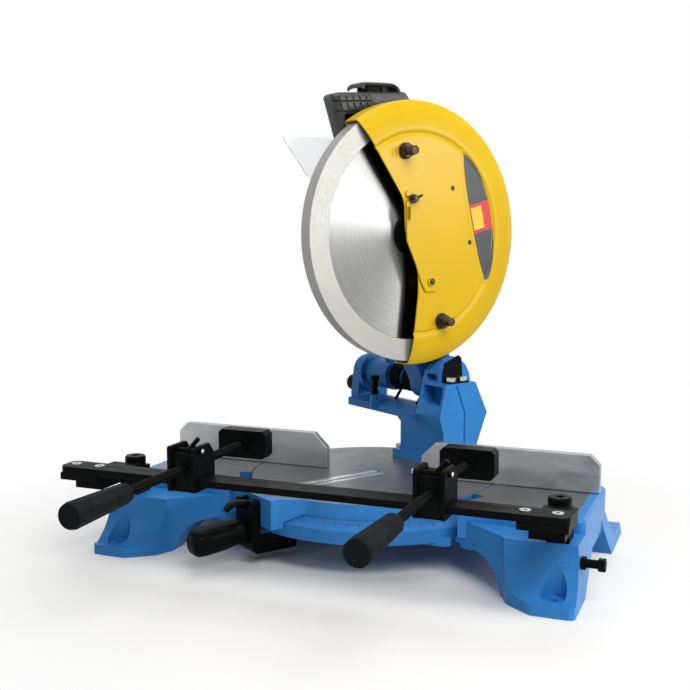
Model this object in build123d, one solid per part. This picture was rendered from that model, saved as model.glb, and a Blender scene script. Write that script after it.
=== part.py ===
from build123d import *
import os
from math import acos, atan2, ceil, cos, hypot, pi, radians, sin, sqrt, tan

os.makedirs("parts", exist_ok=True)

# Millimetres and degrees. The origin is the middle of the four bench bolts on the floor; the back is at +Y.

# Fits
running_fit = 0.05          # radial play of a pin, shaft or screw that turns in its hole
slide_gap = 0.5             # play round a bar that a bracket slides on
seat_gap = 0.2              # play between fixed curved faces
turn_gap = 0.3              # play between flat faces that turn past each other
reach = 1000.0              # longer than any cut has to be

# Bench bolts
bolt_spacing_x = 624.0
bolt_spacing_y = 340.0
bolt_hole_r = 5.5
bolt_notch_r = 16.0

# Table and turntable well
table_z = 96.0
table_half = 337.0
table_front = -98.0
table_back = 95.0
table_corner_r = 10.0
table_chamfer = 4.0
apron_z = 40.0
wall = 8.0
rib_x = 262.0
rib_thick = 6.0
mitre_y = 40.0
mitre_rest = 32.73
turntable_r = 182.0
well_gap = 2.0
well_floor_z = 58.0
well_floor_thick = 13.0
well_ledge_wide = 34.0
skirt_wide = 14.0
skirt_edge_z = 63.0
skirt_top_z = 74.0
hub_boss_r = 34.0
spoke_wide = 26.0
arm_sweep = ((200.0, 70.0), (219.0, 61.0))
bracket_sweep_r = 230.0
bracket_sweep_angle = 53.0

# Front feet
ledge_z = 78.0
ledge_front = -150.0
toe_y = -195.0
toe_z = 14.0
toe_deep = 13.0
foot_half = 342.0
foot_in_x = 288.0
foot_knee_x = 243.0
foot_knee_y = -145.0
foot_shin = (252.0, -168.0)
foot_knee_r = 28.0
foot_root_x = 163.0
foot_root_y = -83.0
foot_heel_y = -117.0
apron_knee_y = -55.0
arch_z = 45.0
arch_in_x = 196.0
arch_out_x = 241.0
foot_round = 9.0

# Rear feet
rear_toe_y = 197.0
rear_toe_z = 14.0
rear_foot_half = 349.0
rear_foot_in_x = 262.0
rear_heel_y = 80.0

# Fence
fence_thick = 12.0
fence_top_z = 150.0
fence_gap_half = 76.0
fence_end_gap = 2.0
fence_foot_in_x = 204.0
fence_seat_step = 1.0
fence_foot_deep = 36.0
fence_foot_thick = 10.0
fence_bolt_in_x = 225.0
fence_bolt_edge = 28.0
small_bolt_r = 4.0
small_hex_r = 7.5
small_head = 6.0

# Turntable arm and kerf
table_plate = 12.0
arm_front = -210.0
arm_half = 49.0
arm_root_half = 72.0
arm_root_y = -166.0
arm_low_z = 55.0
skirt_gap = 1.6
kerf_half = 3.0
kerf_plate_wide = 11.0
kerf_plate_thick = 4.0
kerf_front = -198.0
kerf_back = 12.0
kerf_floor_z = 79.0
pivot_bolt_r = 8.0

# Mitre handle
bracket_half = 22.0
bracket_thick = 14.0
bracket_low_z = 16.0
bracket_top_z = 91.0
shoe_thick = 12.0
shoe_back = -152.0
grip_axis_z = 46.0
grip_droop = 4.2
mitre_grip_long = 82.0
mitre_grip_r = 19.0
mitre_grip_root_r = 14.0
mitre_stud_r = 6.0
lever_half = 10.0
lever_out = -242.0
lever_z = 80.0
lever_thick = 9.0
lever_pin_r = 3.0

# Hinge post, in the frame of the turntable at mitre zero
hinge_y = 150.0
hinge_z = 216.0
pin_r = 10.0
pin_head_r = 11.5
pin_head = 4.0
pin_deep = 18.0
post_flange_x = (-78.0, 63.0)
post_flange_y = (98.0, 162.0)
post_flange_thick = 12.0
post_column_x = (-60.0, 45.0)
post_column_y = (100.0, 160.0)
web_low_z = 158.0
web_top_z = 178.0
web_y = (112.0, 186.0)
box_x = (-3.0, 45.0)
platform_z = 226.0
platform_y = (105.0, 164.0)
box_waist_y = (92.0, 189.0)
box_waist_z = 176.0
ear_thick = 10.0
ear_r = 46.0
left_ear_x = (-221.0, -201.0)
left_ear_r = 27.0
ear_rim = 5.0
post_bolt_r = 5.0
post_bolt_hex_r = 9.0
post_wall = 5.0
pocket_deep = 21.0
pocket_tall = 29.0
ear_box_x = 22.0
ear_box_y = (110.0, 128.0)
ear_box_z = 243.0
chip_sheet = 3.0
chip_foot_x = (25.5, 43.5)
chip_upright = ((113.0, 0.0), (115.6, 30.0), (144.0, 41.0), (149.0, 37.0), (152.0, 7.0), (152.0, 0.0))
stop_bolt_x = -146.0
stop_bolt_y = 113.0
stop_bolt_r = 5.0
stop_boss_r = 8.0
stop_boss_z = 186.0
stop_top_z = 217.5
stop_head = 8.0

# Return spring
coil_r = 19.0
coil_wire = 5.0
coil_pitch = 5.8
coil_x = -130.0
coil_turns = 4
coil_leg = 36.0
coil_leg_angle = -36.0
coil_loop = 14.0
coil_loop_wide = 9.0
peg_r = 1.6

# Lock knob
lock_y = -7.0
lock_z = -25.0
lock_pin_r = 5.0
lock_knob_r = 13.5
lock_knob_long = 19.0

# Head, in the frame of the blade centre
blade_y = 70.86
blade_z = 453.7
head_swing = 62.5
blade_r = 177.5
blade_thick = 2.4
blade_teeth = 80
blade_gullet = 6.0
arbor_r = 12.7
flange_r = 35.0
flange_thick = 7.8
arbor_bolt_r = 5.0
arbor_hex_r = 9.5
hub_r = 15.0
hub_x = (-200.0, -14.0)
lock_disc_r = 34.0
lock_disc_thick = 10.0
drum_r = 25.0
drum_end_x = -134.0
arm_hub_r = 27.0
arm_hub_x = -66.0
arm_web_x = -24.0
housing_r = 66.0
housing_wall = 8.0
housing_x = (-60.0, -17.0)
housing_front_wall = 11.0
nose_r = 40.0
nose_x = -9.3
cover_thick = 18.0
pinion_pocket_r = 14.0

# Gears and motor
gear_module = 1.5
gear_teeth = 72
pinion_teeth = 12
gear_backlash = 0.4
gear_wide = 14.0
gear_x = -52.0
pressure_angle = 20.0
motor_angle = 28.0
motor_r = 52.0
motor_wall = 4.0
motor_long = 148.0
motor_cap_thick = 14.0
stator_x = (-170.0, -105.0)
stator_in_r = 30.0
air_gap = 1.0
commutator_r = 18.0
commutator_x = (-200.0, -180.0)
fan_x = (-92.0, -82.0)
fan_r = 42.0
fan_vanes = 11
brush_x = -190.0
brush_cap_r = 9.0
brush_cap = 4.0
brush_plug_r = 6.5

# Bearings: radius of the bore, outer radius and width
bearing_shoulder = 4.0
spindle_bearing = (10.0, 23.5, 14.0)
tail_bearing = (8.5, 20.0, 12.0)
drive_bearing = (6.0, 16.0, 10.0)
motor_bearing = (5.0, 15.0, 9.0)

# Guards
guard_clear = 19.5
guard_sheet = 2.0
guard_face_x = 22.0
guard_band = 50.0
guard_groove = 1.4
guard_slope_wide = 6.0
guard_rim_x = 14.0
guard_back_x = -17.0
guard_hole_r = 44.0
guard_window_r = 22.0
guard_corner = (-31.0, 50.0)
guard_edge = ((-29.0, 2.0), (-4.0, -52.0), (-3.0, -88.0))
guard_front_run = (-97.0, 134.0)
guard_low_y = -19.0
guard_round = 14.0
guard_small_holes = ((62.0, 69.0), (98.0, -13.0))
guard_small_hole_r = 2.6
lower_gap = 5.7
lower_flange_wide = 32.9
lower_half = 11.0
lower_hub_wide = 12.0
lower_from = 117.0
lower_to = 279.0
stud_at = ((-31.0, 121.0), (42.0, -132.0))
stud_r = 6.0
stud_long = 25.0
stud_hex_r = 11.0
cover_rivet = (19.0, -71.0)
cover_rivet_r = 4.0
cover_sheet = 2.4
cover_lift = 0.6
cover_edge = ((-30.0, 64.0), (4.0, 68.0), (32.0, 60.0), (56.0, 42.0), (71.0, 14.0), (72.0, -14.0),
              (60.0, -44.0))
cover_edge_front = ((-11.0, -44.0), (-28.0, -10.0))
wing_at = (-18.0, 52.0)
wing_r = 3.0
wing_span = 13.0

# Handle
handle_x = (-62.0, -28.0)
handle_split = -45.0
handle_front = (-126.0, 203.4)
handle_back = (10.0, 214.0)
handle_low = ((25.0, 78.0), (-20.0, 58.0), (-60.0, 80.0), (-100.0, 125.0))
finger_gap = ((-104.0, 172.0), (-20.0, 182.0), (-8.0, 170.0), (-12.0, 110.0), (-55.0, 105.0), (-88.0, 138.0))
handle_round = 5.0
handle_nose_r = 12.0
trigger_half = 7.0
trigger_pivot = (-62.0, 184.0)
trigger_pin_r = 2.5
trigger_play = 0.8
cap_sheet = 4.0
cap_y = (-84.0, -12.0)
cap_tall = 12.0
shield_thick = 3.0
shield_front = ((-138.0, 80.0), (-147.5, 87.0), (-188.0, 139.0), (-104.0, 142.0))
shield_root = ((-92.0, 122.0), (-64.0, 94.0), (-22.0, 92.0), (-16.0, 70.0), (-57.0, 72.0))
gland_r = 6.0
gland_z = 140.0
gland_start = 2.0
gland_long = 34.0
gland_collar_start = 21.0
gland_collar_long = 8.0
gland_collar_wide = 3.0

# Clamp bar and clamps
bar_over = 6.5
bar_y = (-261.0, -224.0)
bar_z = 133.6
bar_thick = 9.1
bar_screw_in = (16.0, 53.4)
bar_screw_r = 4.0
bar_screw_head = 1.2
step_long = 60.0
step_end_gap = 0.5
step_thick = 9.1
rail_arm_in = (10.0, 8.0)
rail_arm_z = 108.0
rail_foot_sides = (13.6, 15.4)
rail_foot_y = (-145.0, -110.0)
knob_in = 27.4
knob_y = -127.5
knob_r = 15.0
knob_z = 117.0
knob_tall = 15.0
knob_stud_r = 4.0
side_screw_y = -137.0
side_screw_z = 54.0
side_screw_r = 5.5
side_screw_out = 29.6
side_screw_deep = 15.0
side_screw_head = 9.0
side_nut_thick = 6.0
clamp_left_x = -149.0
clamp_right_x = 182.3
clamp_half = 19.5
clamp_cheek = 5.0
clamp_y = (-268.0, -213.0)
clamp_low_z = 126.0
clamp_top_z = 185.0
clamp_block_z = 177.0
clamp_rod_r = 6.0
clamp_rod_z = 156.0
clamp_rod_out = -470.0
cross_pin_y = -252.0
cross_pin_z = 178.5
cross_pin_r = 3.2
cross_pin_out = 5.0
nut_lever_r = 3.0
nut_lever_tip = (18.0, 16.5)
pad_wide = 74.0
pad_tall = 40.0
pad_y = (-100.0, -76.0)
pad_boss_r = 11.0
pad_boss_long = 8.0
pad_socket = 12.0
pad_chamfer = 5.0
clamp_grip_y = (-498.0, -390.0)
clamp_grip_r = 15.8
clamp_grip_taper = 1.9
clamp_grip_sides = 8

# Places worked out from the sizes above
bolt_x = bolt_spacing_x / 2
bolt_y = bolt_spacing_y / 2
well_r = turntable_r + well_gap
skirt_r = well_r + skirt_wide
skirt_low_z = well_floor_z - well_floor_thick
fence_half = table_half - fence_end_gap
fence_bolt_x = (fence_bolt_in_x, fence_half - fence_bolt_edge)
fence_back = mitre_y + fence_thick
fence_bolt_y = fence_back + fence_foot_deep / 2
fence_seat_z = table_z - fence_seat_step
fence_foot_z = table_z + fence_foot_thick
bracket_front = arm_front - bracket_thick
bar_half = table_half + bar_over
bar_screw_x = (bar_half - bar_screw_in[0], bar_half - bar_screw_in[1])
bar_mid_y = sum(bar_y) / 2
bar_top_z = bar_z + bar_thick
step_x = (bar_half - step_end_gap - step_long, bar_half - step_end_gap)
rail_arm_x = (step_x[0] + rail_arm_in[0], step_x[1] - rail_arm_in[1])
knob_x = table_half - knob_in
rail_foot_x = (knob_x - rail_foot_sides[0], knob_x + rail_foot_sides[1])
leg_splay = (foot_half - table_half) / ledge_z
side_nut_r = side_screw_r * 1.55
side_nut_x = foot_half - leg_splay * side_screw_z + abs(leg_splay) * side_nut_r + turn_gap
hinge = (hinge_y - blade_y, hinge_z - blade_z)
gear_r = gear_module * gear_teeth / 2
pinion_r = gear_module * pinion_teeth / 2
axle_gap = gear_r + pinion_r
motor = (axle_gap * cos(radians(motor_angle)), axle_gap * sin(radians(motor_angle)))
cover_x = (housing_x[0] - cover_thick, housing_x[0])
motor_x = (cover_x[0] - motor_long, cover_x[0])
tail_bearing_x = (cover_x[0] + bearing_shoulder, cover_x[0] + bearing_shoulder + tail_bearing[2])
drive_bearing_x = (cover_x[0] + bearing_shoulder, cover_x[0] + bearing_shoulder + drive_bearing[2])
spindle_bearing_x = (housing_x[1] + 1 - spindle_bearing[2], housing_x[1] + 1)
motor_bearing_x = (motor_x[0] + bearing_shoulder, motor_x[0] + bearing_shoulder + motor_bearing[2])
guard_r = blade_r + guard_clear
guard_face_r = guard_r - guard_band
guard_slope_r = guard_r - guard_slope_wide
lower_r = guard_r - lower_gap
lower_in_r = lower_r - lower_flange_wide
inner_flange_x = (-blade_thick / 2 - flange_thick, -blade_thick / 2)
outer_flange_x = (blade_thick / 2, blade_thick / 2 + flange_thick)
arbor_cover_x = (guard_face_x + cover_lift, guard_face_x + cover_lift + cover_sheet)
coil_turn_x = coil_x + coil_pitch * (coil_turns - coil_leg_angle / 360)
peg_x = coil_turn_x + coil_loop_wide / 2
turned = Pos(0, mitre_y, 0) * Rot(0, 0, -mitre_rest)
headed = turned * Pos(0, blade_y, blade_z)
hinged = Pos(0, hinge[0], hinge[1])
gripped = Pos(0, bracket_front, grip_axis_z) * Rot(grip_droop, 0, 0)


# Shapes

def block(x, y, z):
    """Box between two corners, given as the two ends along each axis."""
    size = Box(x[1] - x[0], y[1] - y[0], z[1] - z[0])
    return Pos(sum(x) / 2, sum(y) / 2, sum(z) / 2) * size


def rod_x(r, x, at=(0.0, 0.0)):
    """Round bar along X through the point (y, z)."""
    return Pos(sum(x) / 2, at[0], at[1]) * Rot(0, 90, 0) * Cylinder(r, x[1] - x[0])


def rod_y(r, y, at=(0.0, 0.0)):
    """Round bar along Y through the point (x, z)."""
    return Pos(at[0], sum(y) / 2, at[1]) * Rot(90, 0, 0) * Cylinder(r, y[1] - y[0])


def rod_z(r, z, at=(0.0, 0.0)):
    """Round bar along Z through the point (x, y)."""
    return Pos(at[0], at[1], sum(z) / 2) * Cylinder(r, z[1] - z[0])


def rod_to(r, start, end):
    """Round bar between two points."""
    away = Vector(*end) - Vector(*start)
    return Solid.make_cylinder(r, away.length, Plane(start, z_dir=away))


def drawn(outline, round_r=0.0):
    """Flat face with the given corners, all rounded by one radius."""
    face = Polygon(*outline)
    return fillet(face.vertices(), round_r) if round_r > 0 else face


def prism_x(outline, x, round_r=0.0):
    """Outline of (y, z) points carried along X."""
    return extrude(Plane.YZ.offset(x[0]) * drawn(outline, round_r), x[1] - x[0], dir=(1, 0, 0))


def prism_y(outline, y, round_r=0.0):
    """Outline of (x, z) points carried along Y."""
    plane = Plane((0, y[0], 0), x_dir=(1, 0, 0), z_dir=(0, -1, 0))
    return extrude(plane * drawn(outline, round_r), y[1] - y[0], dir=(0, 1, 0))


def prism_z(outline, z, round_r=0.0):
    """Outline of (x, y) points carried along Z."""
    return extrude(Plane.XY.offset(z[0]) * drawn(outline, round_r), z[1] - z[0], dir=(0, 0, 1))


def box_corners(a, b):
    """Corners of a rectangle between two pairs of limits."""
    return [(a[0], b[0]), (a[1], b[0]), (a[1], b[1]), (a[0], b[1])]


def hex_x(r, x, at=(0.0, 0.0)):
    """Hexagon bar along X, given its radius over the corners."""
    plane = Plane((x[0], at[0], at[1]), x_dir=(0, 1, 0), z_dir=(1, 0, 0))
    return extrude(plane * RegularPolygon(r, 6), x[1] - x[0], dir=(1, 0, 0))


def hex_z(r, z, at=(0.0, 0.0)):
    """Hexagon bar along Z, given its radius over the corners."""
    return extrude(Plane((at[0], at[1], z[0])) * RegularPolygon(r, 6), z[1] - z[0], dir=(0, 0, 1))


def link_x(a, a_r, b, b_r, x):
    """Two round ends joined by their outer tangents, along X."""
    away = atan2(b[1] - a[1], b[0] - a[0])
    side = acos((a_r - b_r) / hypot(b[0] - a[0], b[1] - a[1]))
    corners = []
    for centre, r, sign in ((a, a_r, 1), (b, b_r, 1), (b, b_r, -1), (a, a_r, -1)):
        angle = away + sign * side
        corners.append((centre[0] + r * cos(angle), centre[1] + r * sin(angle)))
    return rod_x(a_r, x, a) + rod_x(b_r, x, b) + prism_x(corners, x)


def spun_x(profile, about=(0.0, 0.0)):
    """Profile of (x, radius) points turned about an axis along X."""
    return Pos(0, about[0], about[1]) * revolve(Polygon(*profile), Axis.X)


def spun_z(profile):
    """Profile of (radius, z) points turned about Z."""
    return revolve(Plane.XZ * Polygon(*profile), Axis.Z)


def fan_corners(r, start, end):
    """Corners of a wedge that holds the whole arc of radius r between two angles."""
    steps = max(2, ceil((end - start) / 15))
    out_r = r / cos(radians((end - start) / steps / 2))
    corners = [(0.0, 0.0)]
    for i in range(steps + 1):
        angle = radians(start + (end - start) * i / steps)
        corners.append((out_r * cos(angle), out_r * sin(angle)))
    return corners


def hex_bolt_z(r, hex_r, head, z, at):
    """Bolt along Z: its shank between the two heights, its head above them."""
    return rod_z(r, z, at) + hex_z(hex_r, (z[1], z[1] + head), at)


def mirrored(shape):
    """Mirror image in the YZ plane."""
    return mirror(shape, about=Plane.YZ)


def save(name, *pieces, at=Pos(0, 0, 0)):
    """Write one node: its solids, each put in its place."""
    solids = []
    for piece in pieces:
        solids.extend((at * piece).solids())
    export_step(Compound(solids) if len(solids) > 1 else solids[0], f"parts/{name}.step")


# Base

def front_foot():
    """Front leg on the right: its plan, side and front outlines crossed with each other."""
    plan = Polygon((foot_root_x, foot_root_y), (foot_knee_x, foot_knee_y), foot_shin, (foot_in_x, toe_y),
                   (foot_half, toe_y), (foot_half, apron_knee_y + wall), (foot_root_x, apron_knee_y + wall))
    plan = fillet(plan.vertices().sort_by(Axis.Y)[2:4], foot_knee_r)
    plan = fillet(plan.vertices().sort_by(Axis.Y)[:2], foot_round)
    solid = extrude(plan, ledge_z, dir=(0, 0, 1))
    toe_back = toe_y + toe_deep
    middle = ((ledge_front + toe_back) / 2 + 10, (ledge_z + toe_z) / 2)
    side = make_face([
        *Polyline((toe_back, toe_z), (toe_y, toe_z), (toe_y, 0), (foot_heel_y, 0), (apron_knee_y, apron_z),
                  (apron_knee_y + wall, apron_z), (apron_knee_y + wall, ledge_z),
                  (ledge_front, ledge_z)).edges(),
        *ThreePointArc((ledge_front, ledge_z), middle, (toe_back, toe_z)).edges(),
    ])
    solid = solid & extrude(Plane.YZ * side, reach, dir=(1, 0, 0))
    solid = solid & prism_y([(0, 0), (foot_half, 0), (table_half, ledge_z), (0, ledge_z)], (toe_y, 0))
    arch = [(0, -arch_z), (arch_out_x + 18, -arch_z), (arch_out_x - 9, arch_z / 2),
            (arch_out_x - 24, arch_z - 5), (arch_in_x, arch_z), (0, arch_z)]
    solid = solid - prism_y(arch, (toe_y, apron_knee_y - wall), foot_knee_r)
    hollow_x = min(table_half, foot_half) - wall
    hollow_y = foot_shin[1] + 3.5 * wall
    hollow = [(foot_shin[0] + 2 * wall, hollow_y), (hollow_x, hollow_y), (hollow_x, apron_knee_y - wall),
              (foot_knee_x, apron_knee_y - wall)]
    return solid - prism_z(hollow, (-1, ledge_z - wall), wall)


def rear_foot():
    """Rear leg on the right."""
    top_z = apron_z + 2 * wall
    root_y = rear_heel_y - 3 * wall
    plan = [(rear_foot_in_x - 20, root_y), (rear_foot_half, root_y), (rear_foot_half, rear_toe_y),
            (rear_foot_in_x + 20, rear_toe_y), (rear_foot_in_x, rear_toe_y - 30)]
    solid = prism_z(plan, (0, top_z), foot_round)
    side = [(root_y, top_z), (table_back, top_z), (table_back + 6, apron_z),
            (table_back + 32, rear_toe_z + 3), (rear_toe_y, rear_toe_z), (rear_toe_y, 0), (rear_heel_y, 0),
            (root_y, apron_z)]
    solid = solid & prism_x(side, (0, reach))
    front = [(0, 0), (rear_foot_half, 0), (rear_foot_half - 3, rear_toe_z), (table_half, top_z), (0, top_z)]
    return solid & prism_y(front, (root_y, rear_toe_y))


def well_ring():
    """Skirt with its sloping scale face, the ledge that carries the turntable, and the hub on spokes."""
    in_r = well_r - well_ledge_wide
    ring = spun_z([(in_r, skirt_low_z), (skirt_r, skirt_low_z), (skirt_r, skirt_edge_z),
                   (well_r, skirt_top_z), (well_r, well_floor_z), (in_r, well_floor_z)])
    ring = ring + rod_z(hub_boss_r, (skirt_low_z, well_floor_z))
    for i in range(4):
        spoke = block((hub_boss_r - 4, in_r + 4), (-spoke_wide / 2, spoke_wide / 2),
                      (skirt_low_z, well_floor_z))
        ring = ring + Rot(0, 0, 45 + 90 * i) * spoke
    return ring - rod_z(pivot_bolt_r + seat_gap, (0, reach))


def base_casting():
    """Cast base: table wings on walls, the well for the turntable, and four feet."""
    table = block((-table_half, table_half), (table_front, table_back), (apron_z, table_z))
    table = fillet(table.edges().filter_by(Axis.Z), table_corner_r)
    table = chamfer(table.edges().group_by(Axis.Z)[-1], table_chamfer)
    inner = block((-table_half + wall, table_half - wall), (table_front + wall, table_back - wall),
                  (apron_z - 1, table_z - wall))
    body = table - inner
    for x in (-rib_x, rib_x):
        body = body + block((x - rib_thick / 2, x + rib_thick / 2), (table_front + 1, table_back - 1),
                            (apron_z + wall, table_z - 1))
    centred = Pos(0, mitre_y, 0)
    body = body + (centred * rod_z(skirt_r, (skirt_low_z, table_z)) & table)
    for foot in (front_foot(), rear_foot()):
        body = body + foot + mirrored(foot)
    for sweep_r, angle in arm_sweep:
        sweep = fan_corners(sweep_r, -90 - angle, -90 + angle)
        body = body - centred * prism_z(sweep, (arm_low_z - 4, reach))
    sweep = fan_corners(bracket_sweep_r, -90 - bracket_sweep_angle, -90 + bracket_sweep_angle)
    swept_ring = prism_z(sweep, (apron_z - 1, arm_low_z)) - rod_z(-arm_front - 4, (0, reach))
    body = body - centred * swept_ring
    body = body - block((-reach, reach), (mitre_y, reach), (fence_seat_z, reach))
    body = body - centred * rod_z(well_r, (-1, reach))
    body = body + centred * well_ring()
    pad_z = max(toe_z, rear_toe_z)
    for side in (-1, 1):
        for y in (-bolt_y, bolt_y):
            body = body - rod_z(bolt_hole_r, (-1, pad_z + 1), (side * bolt_x, y))
            body = body - rod_z(bolt_notch_r, (pad_z, table_z), (side * bolt_x, y))
        body = body - rod_z(knob_stud_r + running_fit, (apron_z, ledge_z + 1), (side * knob_x, knob_y))
        for x in fence_bolt_x:
            body = body - rod_z(small_bolt_r + seat_gap, (apron_z, reach), (side * x, fence_bolt_y))
    screw_at = (side_screw_y, side_screw_z)
    screw_in = side_nut_x - side_screw_deep - 4 * turn_gap
    return body - rod_x(side_screw_r + running_fit, (screw_in, reach), screw_at)


def fence_right():
    """Right half of the fence, with a ribbed foot behind it."""
    low_z = table_z + turn_gap
    face = [(fence_gap_half, low_z), (fence_half, low_z), (fence_half, fence_top_z - 14),
            (fence_half - 14, fence_top_z), (fence_gap_half + 22, fence_top_z),
            (fence_gap_half, fence_top_z - 22)]
    shape = prism_y(face, (mitre_y, fence_back))
    foot_back = fence_back + fence_foot_deep
    shape = shape + block((fence_foot_in_x, fence_half - 6), (mitre_y + fence_thick / 2, foot_back),
                          (fence_seat_z, fence_foot_z))
    rib = [(fence_back - 1, fence_foot_z - 1), (foot_back - 4, fence_foot_z - 1),
           (foot_back - 4, fence_foot_z + 2), (fence_back - 1, fence_top_z - 18)]
    for x in (fence_foot_in_x + 2, sum(fence_bolt_x) / 2, fence_half - 14):
        shape = shape + prism_x(rib, (x, x + 6))
    for x in fence_bolt_x:
        shape = shape - rod_z(small_bolt_r + seat_gap, (0, reach), (x, fence_bolt_y))
    return shape


def fence_bolts():
    bolts = []
    for x in fence_bolt_x:
        for side in (-1, 1):
            bolts.append(hex_bolt_z(small_bolt_r, small_hex_r, small_head, (table_z - wall - 4, fence_foot_z),
                                    (side * x, fence_bolt_y)))
    return bolts


def turntable_bolt():
    """Pivot bolt, put in from below."""
    head = hex_z(pivot_bolt_r * 1.7, (skirt_low_z - 8, skirt_low_z))
    return Pos(0, mitre_y, 0) * (rod_z(pivot_bolt_r, (skirt_low_z - 1, kerf_floor_z - 4)) + head)


# Clamp rail

def rail_arm():
    """Arm on the right that carries one end of the clamp bar."""
    arm_top = bar_z - step_thick
    corners = [(step_x[0], bar_y[0]), (step_x[1], bar_y[0]), (step_x[1], bar_y[1]), (step_x[0], bar_y[1])]
    step = prism_z(corners, (arm_top, bar_z), 4.0)
    shape = step + block(rail_arm_x, (bar_y[0] + 25, rail_foot_y[0] + 1), (rail_arm_z, arm_top))
    shape = shape + block(rail_foot_x, rail_foot_y, (ledge_z, knob_z))
    shape = shape - rod_z(knob_stud_r + running_fit, (0, reach), (knob_x, knob_y))
    for x in bar_screw_x:
        shape = shape - rod_z(bar_screw_r + running_fit, (0, reach), (x, bar_mid_y))
    return shape


def clamp_bar():
    corners = [(-bar_half, bar_y[0]), (bar_half, bar_y[0]), (bar_half, bar_y[1]), (-bar_half, bar_y[1])]
    bar = prism_z(corners, (bar_z, bar_top_z), (bar_y[1] - bar_y[0]) * 0.3)
    for x in bar_screw_x:
        for side in (-1, 1):
            bar = bar - rod_z(bar_screw_r + running_fit, (0, reach), (side * x, bar_mid_y))
    return bar


def bar_screws():
    screws = []
    for x in bar_screw_x:
        for side in (-1, 1):
            at = (side * x, bar_mid_y)
            screw = rod_z(bar_screw_r, (bar_z - step_thick + 1, bar_top_z + 1), at)
            screw = screw + rod_z(bar_screw_r * 1.7, (bar_top_z, bar_top_z + bar_screw_head), at)
            screws.append(screw - hex_z(bar_screw_r * 0.7, (bar_top_z - 3, reach), at))
    return screws


def rail_knob():
    at = (knob_x, knob_y)
    low_z = knob_z + turn_gap
    knob = rod_z(knob_r, (low_z, low_z + knob_tall), at)
    knob = chamfer(knob.edges().sort_by(Axis.Z)[-1], 2.0)
    knob = knob - rod_z(knob_r * 0.36, (low_z + knob_tall - 6, reach), at)
    return knob + rod_z(knob_stud_r, (ledge_z - wall - 6, low_z + 2), at)


def side_stop_screw():
    """Screw in the outer face of the right front leg, with its lock nut."""
    at = (side_screw_y, side_screw_z)
    end = side_nut_x + side_screw_out
    screw = rod_x(side_screw_r, (side_nut_x - side_screw_deep, end - 1), at)
    head = hex_x(side_nut_r, (end - side_screw_head, end), at)
    return screw + head + hex_x(side_nut_r, (side_nut_x, side_nut_x + side_nut_thick), at)


# Clamps, drawn at x = 0

def clamp_bracket():
    """Two cheeks with a block between them, open for the bar and bored for the screw."""
    half = clamp_half - clamp_cheek
    cheek = [(clamp_y[0], clamp_low_z), (clamp_y[1], clamp_low_z), (clamp_y[1], clamp_block_z - 8),
             (clamp_y[1] - 14, clamp_top_z), (clamp_y[0], clamp_top_z)]
    shape = prism_x(cheek, (-clamp_half, clamp_half), 3.0)
    shape = shape - block((-half, half), (-reach, 0), (clamp_block_z, reach))
    for y in ((-reach, clamp_y[0] + 5), (clamp_y[1] - 5, 0)):
        shape = shape - block((-half, half), y, (0, reach))
    shape = shape - block((-reach, reach), (bar_y[0] - slide_gap, bar_y[1] + slide_gap),
                          (bar_z - slide_gap, bar_top_z + slide_gap))
    shape = shape - rod_y(clamp_rod_r + running_fit, (-reach, 0), (0, clamp_rod_z))
    return shape - rod_x(cross_pin_r + running_fit, (-reach, reach), (cross_pin_y, cross_pin_z))


def clamp_lever():
    """Cross pin of the half nut, with the small lever that lifts it."""
    out = clamp_half + cross_pin_out
    pin = rod_x(cross_pin_r, (-out, out), (cross_pin_y, cross_pin_z))
    tip = (nut_lever_tip[0], cross_pin_y, cross_pin_z + nut_lever_tip[1])
    return pin + rod_to(nut_lever_r, (nut_lever_r, cross_pin_y, cross_pin_z), tip)


def clamp_pad():
    half = pad_wide / 2
    low_z = clamp_rod_z - pad_tall / 2
    pad = block((-half, half), pad_y, (low_z, low_z + pad_tall))
    pad = chamfer(pad.edges().filter_by(Axis.Y), pad_chamfer)
    pad = pad + rod_y(pad_boss_r, (pad_y[0] - pad_boss_long, pad_y[0] + 1), (0, clamp_rod_z))
    return pad - rod_y(clamp_rod_r + running_fit, (-reach, pad_y[0] + pad_socket), (0, clamp_rod_z))


def clamp_rod():
    return rod_y(clamp_rod_r, (clamp_rod_out, pad_y[0] + pad_socket - turn_gap), (0, clamp_rod_z))


def clamp_grip():
    """Faceted rubber grip, closed at its outer end."""
    plane = Plane((0, clamp_grip_y[0], clamp_rod_z), x_dir=(1, 0, 0), z_dir=(0, 1, 0))
    facet = RegularPolygon(clamp_grip_r, clamp_grip_sides)
    grip = extrude(plane * facet, clamp_grip_y[1] - clamp_grip_y[0], dir=(0, 1, 0), taper=clamp_grip_taper)
    grip = chamfer(grip.faces().sort_by(Axis.Y)[0].edges(), 3.0)
    return grip - rod_y(clamp_rod_r, (clamp_rod_out, 0), (0, clamp_rod_z))


# Turntable, drawn at mitre zero round its own axis

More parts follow.
